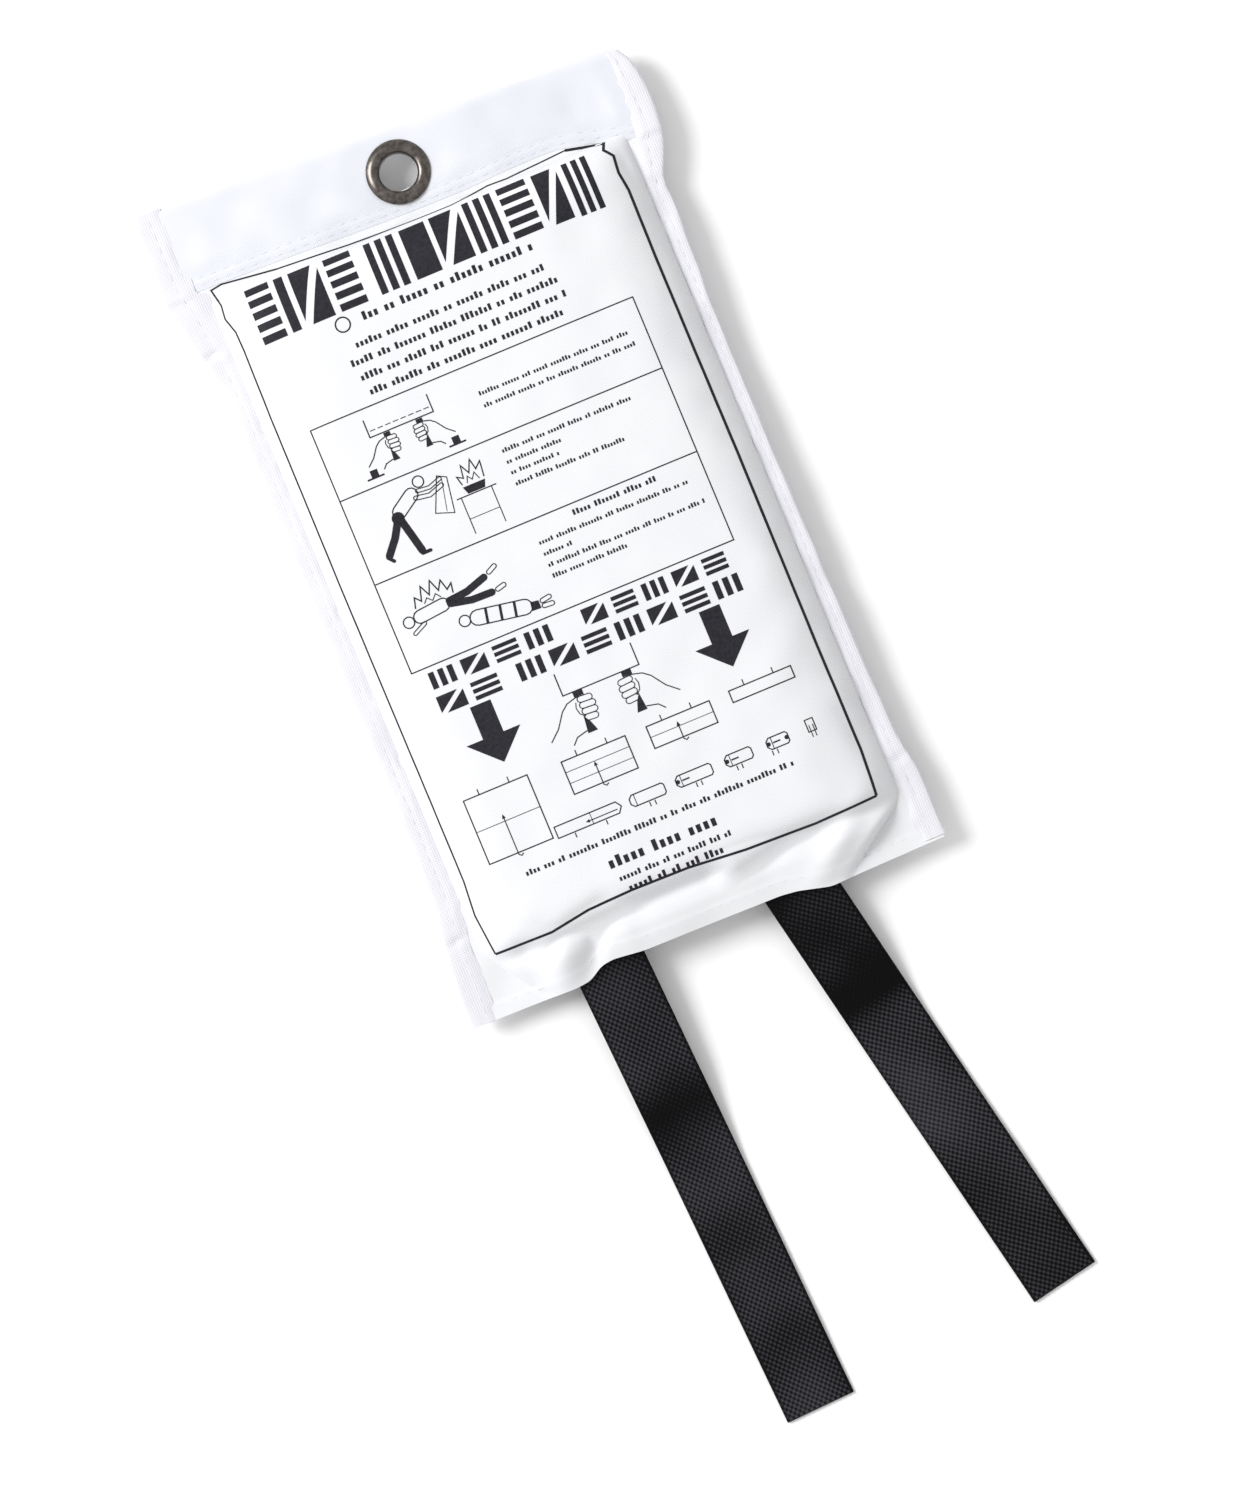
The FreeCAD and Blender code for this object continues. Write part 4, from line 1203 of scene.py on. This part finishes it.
def draw_hand(x, y, way, size):
    """A plain fist closed round a tape that goes in at x and y, with its forearm going down and outwards."""
    def place(points):
        return [(x + way * a * size, y + b * size) for a, b in points]

    ink.area(place([(-1.7, 1.9), (1.7, 1.9), (1.7, 0.2), (-1.7, 0.2)]))
    ink.area(place([(-0.3, -9.0), (1.2, -6.6), (1.9, -12.6), (-1.6, -12.6)]))
    ink.line(place([(-1.8, -0.1), (1.4, 0.0), (4.8, -0.9), (7.2, -2.8), (10.6, -7.6), (14.4, -10.9)]), 0.38)
    ink.line(place([(1.9, -11.6), (5.8, -12.5), (7.8, -14.6)]), 0.38)
    ink.line(place([(0.4, -7.0), (2.0, -5.6), (2.5, -3.4), (1.9, -1.6)]), 0.32)
    for finger, reach in enumerate((3.0, 3.4, 3.3, 2.7)):
        level = -1.3 - 2.15 * finger
        ink.limb(place([(-reach, level), (0.1, level + 0.2)]), 1.05 * size, filled=False, width=0.32)


# Step 1: two hands in cuffs at the tapes under the pouch's mouth
ink.line([(-42.7, -73.4), (-42.7, -79.6), (-19.9, -79.6), (-19.9, -73.4)], 0.42)
for k in range(8):
    ink.line([(-41.9 + 2.75 * k, -77.6), (-40.0 + 2.75 * k, -77.6)], 0.3)
for x, way in ((-37.0, -1), (-25.4, 1)):
    draw_hand(x, -81.2, way, 0.68)
    cuff = x + way * 8.9
    ink.bar(cuff - 1.3, -92.3, cuff + 1.3, -89.9)
    ink.bar(cuff - 3.0, -92.9, cuff + 3.0, -92.3)

# Step 2: a plain figure leans forward and holds the blanket towards a burning pan on a table
ink.ring(-33.6, -99.2, 1.9, 0.42)
ink.limb([(-43.2, -106.2), (-37.4, -102.4)], 2.3, filled=False, width=0.42)
ink.ring(-44.4, -108.0, 2.2, filled=True)
ink.limb([(-44.8, -108.6), (-47.8, -113.6), (-51.8, -118.4)], 1.3)
ink.limb([(-43.8, -108.6), (-42.4, -114.6), (-41.0, -120.8)], 1.3)
ink.limb([(-52.6, -118.8), (-51.0, -120.6)], 0.6)
ink.limb([(-41.2, -121.8), (-38.4, -121.8)], 0.6)
ink.limb([(-36.4, -104.0), (-31.6, -104.8), (-26.8, -103.2)], 0.7, filled=False)
ink.limb([(-35.0, -102.0), (-30.8, -102.4), (-26.6, -101.0)], 0.6, filled=False)
ink.line([(-27.2, -99.8), (-24.2, -101.4), (-26.2, -113.4), (-32.2, -111.2)], 0.34, closed=True)
ink.line([(-26.0, -101.4), (-28.4, -112.0)], 0.22)
ink.line([(-24.0, -109.8), (-9.8, -109.8)], 0.4)
for x in (-22.4, -11.6):
    ink.line([(x, -109.8), (x, -122.6)], 0.32)
ink.line([(-22.4, -117.4), (-11.6, -117.4)], 0.24)
ink.area([(-20.6, -106.8), (-12.6, -106.8), (-13.6, -109.4), (-19.6, -109.4)])
ink.line([(-20.4, -106.0), (-21.2, -102.8), (-19.2, -104.0), (-18.6, -99.6), (-16.8, -103.0), (-15.0, -98.8),
          (-14.2, -102.6), (-12.0, -100.6), (-12.6, -106.0)], 0.42)
ink.line([(-18.6, -106.0), (-17.8, -103.8), (-16.6, -105.4), (-15.2, -103.4), (-14.2, -106.0)], 0.32)

# Step 3: flames on someone lying down, then wrapped in the blanket
ink.ring(-54.4, -141.4, 1.9, 0.42)
ink.limb([(-50.2, -141.0), (-41.6, -140.2)], 2.2, filled=False, width=0.42)
ink.limb([(-49.6, -143.6), (-53.8, -145.6)], 0.6, filled=False)
ink.limb([(-39.2, -139.8), (-32.6, -139.2), (-25.6, -137.0)], 1.25)
ink.limb([(-39.2, -140.8), (-32.0, -142.4), (-25.0, -142.6)], 1.25)
ink.limb([(-23.4, -136.0), (-21.0, -134.8)], 0.75, filled=False)
ink.limb([(-22.8, -142.4), (-20.4, -141.8)], 0.75, filled=False)
ink.line([(-50.6, -138.0), (-49.6, -134.4), (-47.8, -136.4), (-46.4, -131.6), (-44.6, -135.4),
          (-42.8, -131.0), (-41.2, -135.2), (-39.4, -132.2), (-38.4, -136.0), (-36.4, -134.4),
          (-37.0, -137.8)], 0.45)
ink.line([(-47.2, -137.6), (-45.8, -136.0), (-44.2, -137.6), (-42.6, -135.8), (-41.2, -137.6)], 0.34)
ink.ring(-37.0, -148.0, 1.9, 0.42)
ink.limb([(-32.6, -148.6), (-16.8, -151.4)], 2.6, filled=False, width=0.42)
for x, y in ((-29.6, -149.1), (-24.8, -150.0), (-20.0, -150.8)):
    ink.line([(x + 0.5, y + 2.4), (x - 0.5, y - 2.4)], 0.9)
ink.area([(-14.6, -150.6), (-11.8, -151.0), (-11.8, -153.8), (-15.0, -153.6)])
ink.limb([(-10.6, -151.6), (-8.0, -151.2)], 0.75, filled=False)
ink.limb([(-10.6, -153.4), (-7.8, -153.6)], 0.75, filled=False)

# Middle picture: the pouch's mouth and two hands
ink.line([(-16.5, -175.8), (-16.5, -183.6), (10.9, -183.6), (10.9, -175.8)], 0.42)
for x, way in ((-11.5, -1), (6.0, 1)):
    draw_hand(x, -185.7, way, 1.0)

# How the blanket is folded: a square, then ever smaller packs, each with the number of its strips
FOLD_STEPS = [(-60.6, -226.0, -37.6, -203.2, 2), (-25.5, -215.3, -2.5, -203.7, 3),
              (5.1, -211.5, 27.8, -203.7, 2), (35.0, -207.4, 57.3, -203.3, 1)]
for x0, y0, x1, y1, rows in FOLD_STEPS:
    ink.frame(x0, y0, x1, y1, 0.42)
    for share in (0.25, 0.72):
        ink.line([(x0 + (x1 - x0) * share, y1), (x0 + (x1 - x0) * share, y1 + 2.0)], 0.36)
    for k in range(1, rows):
        ink.line([(x0, y0 + (y1 - y0) * k / rows), (x1, y0 + (y1 - y0) * k / rows)], 0.22)
    if rows > 1:
        x, tip = x0 + (x1 - x0) * 0.45, y1 - (y1 - y0) * 0.45
        ink.line([(x + 1.7, y0 - 0.7), (x + 0.8, y0 - 1.3), (x, y0 - 0.6), (x, tip)], 0.36)
        ink.area([(x - 0.65, tip - 0.2), (x + 0.65, tip - 0.2), (x, tip + 1.3)])

# The last folds, across: each pack has its two tapes hanging below
PACK_LOW_LINE, PACK_HIGH_LINE = -226.8, -222.8
middle = (PACK_LOW_LINE + PACK_HIGH_LINE) / 2
ink.line([(-36.0, PACK_LOW_LINE), (-14.0, PACK_LOW_LINE), (-12.6, middle), (-14.0, PACK_HIGH_LINE),
          (-36.0, PACK_HIGH_LINE)], 0.4, closed=True)
ink.line([(-23.3, PACK_LOW_LINE), (-23.3, PACK_HIGH_LINE)], 0.24)
ink.line([(-14.2, middle - 0.5), (-24.4, middle - 0.5)], 0.34)
ink.area([(-24.2, middle - 1.1), (-24.2, middle + 0.1), (-25.6, middle - 0.5)])
PACK_STEPS = [(-9.4, 3.1, 0), (7.2, 20.1, 1), (24.9, 34.5, 1), (39.9, 47.6, 2)]
for x0, x1, rolls in PACK_STEPS:
    ink.line([(x0 + 1.1, PACK_LOW_LINE), (x0, PACK_LOW_LINE + 1.1), (x0, PACK_HIGH_LINE - 1.1),
              (x0 + 1.1, PACK_HIGH_LINE), (x1 - 0.7, PACK_HIGH_LINE), (x1, PACK_HIGH_LINE - 0.7),
              (x1, PACK_LOW_LINE + 0.7), (x1 - 0.7, PACK_LOW_LINE)], 0.4, closed=True)
    ink.line([(x0 + 1.9, PACK_LOW_LINE), (x0 + 1.9, PACK_HIGH_LINE)], 0.26)
    if rolls:
        ink.ring(x0 + 0.6, middle, 0.75, filled=True)
        ink.line([(x0 + 2.2, middle), (x0 + 4.8, middle)], 0.5)
    if rolls > 1:
        ink.ring(x1 - 0.6, middle, 0.75, filled=True)
for x in (-30.2, -19.0, -3.4, -1.5, 13.4, 15.2, 28.0, 29.8, 40.8, 42.6):
    ink.line([(x, PACK_LOW_LINE - 0.4), (x, PACK_LOW_LINE - 2.0)], 0.36)
ink.frame(54.5, -226.2, 57.3, -222.0, 0.36)
for x in (55.3, 56.6):
    ink.line([(x, -224.0), (x, -228.2)], 0.3)


def lay_print():
    """The ink as one piece on the front panel."""
    def height_at(x, y):
        z = height_on(front_surface, x, y)
        return CLOTH if z is None else z

    parts = [stroke_mesh(points, width, height_at) for points, width in ink.strokes]
    parts += [area_mesh(outline, height_at) for outline in ink.areas]
    piece = joined("print", parts, 30)
    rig.slot(piece, "ink")
    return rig.ride(piece, "pouch")


lay_print()


# Materials

def new_material(name, **sockets):
    """A material whose Principled shader has these plain values."""
    material = bpy.data.materials.new(name)
    material.use_nodes = True
    shader = material.node_tree.nodes["Principled BSDF"]
    for socket, value in sockets.items():
        shader.inputs[socket.replace("_", " ")].default_value = value
    return material, material.node_tree, shader


def place_in(tree, turn=0.0):
    """The piece's own coordinates in metres, turned."""
    where = tree.nodes.new("ShaderNodeTexCoord")
    mapping = tree.nodes.new("ShaderNodeMapping")
    mapping.inputs["Rotation"].default_value = (0, 0, turn)
    tree.links.new(where.outputs["Object"], mapping.inputs["Vector"])
    return mapping.outputs["Vector"]


def wave(tree, vector, direction, step, distortion=0.0):
    """Bands across one direction, a step apart in metres."""
    node = tree.nodes.new("ShaderNodeTexWave")
    node.bands_direction = direction
    node.inputs["Scale"].default_value = 2 * math.pi / (20 * step)
    node.inputs["Distortion"].default_value = distortion
    node.inputs["Detail"].default_value = 0
    tree.links.new(vector, node.inputs["Vector"])
    return node.outputs["Fac"]


def noise(tree, vector, step, detail=3.0):
    """Soft noise whose lumps are about a step across, in metres."""
    node = tree.nodes.new("ShaderNodeTexNoise")
    node.inputs["Scale"].default_value = 1 / step
    node.inputs["Detail"].default_value = detail
    tree.links.new(vector, node.inputs["Vector"])
    return node.outputs["Fac"]


def maths(tree, operation, first, second):
    node = tree.nodes.new("ShaderNodeMath")
    node.operation = operation
    for socket, value in zip(node.inputs, (first, second)):
        if isinstance(value, (int, float)):
            socket.default_value = value
        else:
            tree.links.new(value, socket)
    return node.outputs["Value"]


def colour(tree, shader, factor, stops):
    """The shader's colour, from a ramp of places and colours."""
    node = tree.nodes.new("ShaderNodeValToRGB")
    ramp = node.color_ramp
    for element, (place, shade) in zip(ramp.elements, stops):
        element.position = place
        element.color = (*shade, 1)
    tree.links.new(factor, node.inputs["Fac"])
    tree.links.new(node.outputs["Color"], shader.inputs["Base Color"])


def roughen(tree, shader, factor, times, plus):
    """The shader's roughness, as a share of a factor above or below a level."""
    spread = maths(tree, "MULTIPLY", factor, times)
    tree.links.new(maths(tree, "ADD", spread, plus), shader.inputs["Roughness"])


def bump(tree, shader, height, distance):
    node = tree.nodes.new("ShaderNodeBump")
    node.inputs["Distance"].default_value = distance
    node.inputs["Strength"].default_value = 1.0
    tree.links.new(height, node.inputs["Height"])
    tree.links.new(node.outputs["Normal"], shader.inputs["Normal"])


def woven(name, light, dark, thread, relief, roughness, sheen, stain=0.02):
    """Plain-woven cloth: threads both ways, slightly uneven in colour and gloss."""
    material, tree, shader = new_material(name, Specular_IOR_Level=0.35, Sheen_Weight=sheen,
                                          Sheen_Roughness=0.45)
    place = place_in(tree)
    warp = wave(tree, place, "X", thread, 0.4)
    weft = wave(tree, place, "Y", thread, 0.4)
    cloth = maths(tree, "MULTIPLY", maths(tree, "ADD", warp, weft), 0.5)
    patches = noise(tree, place, stain)
    mixed = maths(tree, "ADD", maths(tree, "MULTIPLY", cloth, 0.35), maths(tree, "MULTIPLY", patches, 0.65))
    colour(tree, shader, mixed, [(0.25, dark), (0.7, light)])
    low, high = roughness
    roughen(tree, shader, noise(tree, place, 0.006), high - low, low)
    bump(tree, shader, maths(tree, "ADD", cloth, maths(tree, "MULTIPLY", patches, 0.6)), relief)
    return material


def thread_material(name, light, dark):
    material, tree, shader = new_material(name, Roughness=0.6, Specular_IOR_Level=0.35, Sheen_Weight=0.3)
    place = place_in(tree, turn=0.7)
    twist = wave(tree, place, "X", 0.00045, 1.0)
    colour(tree, shader, twist, [(0.2, dark), (0.8, light)])
    bump(tree, shader, twist, 0.00006)
    return material


def metal_material():
    """Dark nickel plate, slightly worn."""
    material, tree, shader = new_material("dark_nickel", Metallic=1.0)
    place = place_in(tree)
    wear = noise(tree, place, 0.0016, 6)
    colour(tree, shader, wear, [(0.3, (0.075, 0.066, 0.06)), (0.75, (0.2, 0.18, 0.165))])
    roughen(tree, shader, wear, 0.22, 0.2)
    bump(tree, shader, noise(tree, place, 0.0008, 4), 0.00003)
    return material


def ink_material():
    material, tree, shader = new_material("screen_ink", Specular_IOR_Level=0.2)
    place = place_in(tree)
    wear = noise(tree, place, 0.0012, 5)
    colour(tree, shader, wear, [(0.3, (0.008, 0.008, 0.012)), (0.8, (0.024, 0.023, 0.031))])
    roughen(tree, shader, wear, 0.2, 0.5)
    cloth = maths(tree, "ADD", wave(tree, place, "X", 0.0005), wave(tree, place, "Y", 0.0005))
    bump(tree, shader, cloth, 0.00002)
    return material


def webbing_material():
    """Black webbing with painted light: a painted sheen on the yarn tops, and painted shade in the gaps and on steep
    runs.
    """
    material, tree, shader = new_material("black_webbing", Specular_IOR_Level=0.09, Sheen_Weight=0.01,
                                          Sheen_Roughness=0.35)
    place = place_in(tree)
    weave = tree.nodes.new("ShaderNodeAttribute")
    weave.attribute_name = "weave"
    fibre = noise(tree, place, 0.0003, 4)
    patches = noise(tree, place, 0.03, 1)
    yarns_and_painted_shade = maths(tree, "MULTIPLY", weave.outputs["Fac"], 0.5)
    uneven = maths(tree, "ADD", maths(tree, "MULTIPLY", fibre, 0.1), maths(tree, "MULTIPLY", patches, 0.4))
    mixed = maths(tree, "ADD", yarns_and_painted_shade, uneven)
    # Near black in the gaps and lighter on the yarn tops: painted shade and painted sheen, not the yarn's own colour.
    colour(tree, shader, mixed, [(0.38, (0.001, 0.001, 0.0014)), (0.8, (0.05, 0.049, 0.058))])
    roughen(tree, shader, weave.outputs["Fac"], -0.17, 0.55)
    bump(tree, shader, fibre, 0.00005)
    return material


MATERIALS = {
    "printed_fabric": woven("coated_fabric_front", (0.745, 0.75, 0.765), (0.715, 0.72, 0.745),
                            thread=0.00055, relief=0.00006, roughness=(0.5, 0.68), sheen=0.05),
    "pouch_fabric": woven("coated_fabric", (0.695, 0.705, 0.75), (0.665, 0.675, 0.73),
                          thread=0.00055, relief=0.00006, roughness=(0.5, 0.68), sheen=0.05),
    "binding_tape": woven("binding_cloth", (0.73, 0.722, 0.762), (0.70, 0.692, 0.74),
                          thread=0.0008, relief=0.00012, roughness=(0.6, 0.8), sheen=0.05),
    "glass_cloth": woven("glass_fibre_cloth", (0.68, 0.68, 0.655), (0.56, 0.56, 0.535),
                         thread=0.0009, relief=0.00018, roughness=(0.35, 0.55), sheen=0.1, stain=0.01),
    "white_thread": thread_material("white_thread", (0.74, 0.74, 0.78), (0.62, 0.62, 0.68)),
    "black_thread": thread_material("black_thread", (0.03, 0.03, 0.034), (0.008, 0.008, 0.01)),
    "eyelet_metal": metal_material(),
    "ink": ink_material(),
    "webbing": webbing_material(),
}
for piece in bpy.data.objects:
    if piece.type == "MESH" and piece.get("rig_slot"):
        piece.data.materials.clear()
        piece.data.materials.append(MATERIALS[piece["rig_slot"]])
for row in frame["record"]["subparts"]:
    node = frame["nodes"][row["node"]]
    node.data.materials.clear()
    node.data.materials.append(MATERIALS[row["material_slot"]])


# Stage and light

STAGE_HALF = 12.0  # half the floor's side, in metres


def make_floor():
    mesh = bpy.data.meshes.new("floor")
    half = STAGE_HALF
    corners = [(x, y, FLOOR * MM) for x, y in ((-half, -half), (half, -half), (half, half), (-half, half))]
    mesh.from_pydata(corners, [], [(0, 1, 2, 3)])
    floor = link("floor", mesh)
    paper = new_material("white_paper", Base_Color=(0.92, 0.92, 0.92, 1), Roughness=0.9,
                         Specular_IOR_Level=0.1)[0]
    floor.data.materials.append(paper)
    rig.stage(floor)


def make_light(name, towards, elevation, distance, size, power):
    """A soft lamp that stands off in this direction and shines at the middle of the object."""
    data = bpy.data.lights.new(name, "AREA")
    data.shape = "DISK"
    data.size = size
    data.energy = power
    lamp = bpy.data.objects.new(name, data)
    bpy.context.scene.collection.objects.link(lamp)
    way = math.atan2(towards[1], towards[0])
    lift = math.radians(elevation)
    middle = Vector((VIEW_CENTRE[0] * MM, VIEW_CENTRE[1] * MM, 0))
    level = math.cos(lift)
    offset = Vector((math.cos(way) * level, math.sin(way) * level, math.sin(lift))) * distance
    lamp.location = middle + offset
    lamp.rotation_euler = offset.to_track_quat("Z", "Y").to_euler()


def make_world(strength):
    world = bpy.data.worlds.new("studio")
    world.use_nodes = True
    background = world.node_tree.nodes["Background"]
    background.inputs["Color"].default_value = (1, 1, 1, 1)
    background.inputs["Strength"].default_value = strength
    bpy.context.scene.world = world


make_floor()
make_light("key", towards=(-1.0, 0.7), elevation=40, distance=2.4, size=1.2, power=52)
make_world(0.74)
bpy.context.scene.view_settings.view_transform = "Standard"

low, high = cad_box
visual_low, visual_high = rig.bounds()
with open("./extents.json", "w") as file:
    json.dump({"cad": [list(low), list(high)], "visual": [list(visual_low), list(visual_high)]}, file)
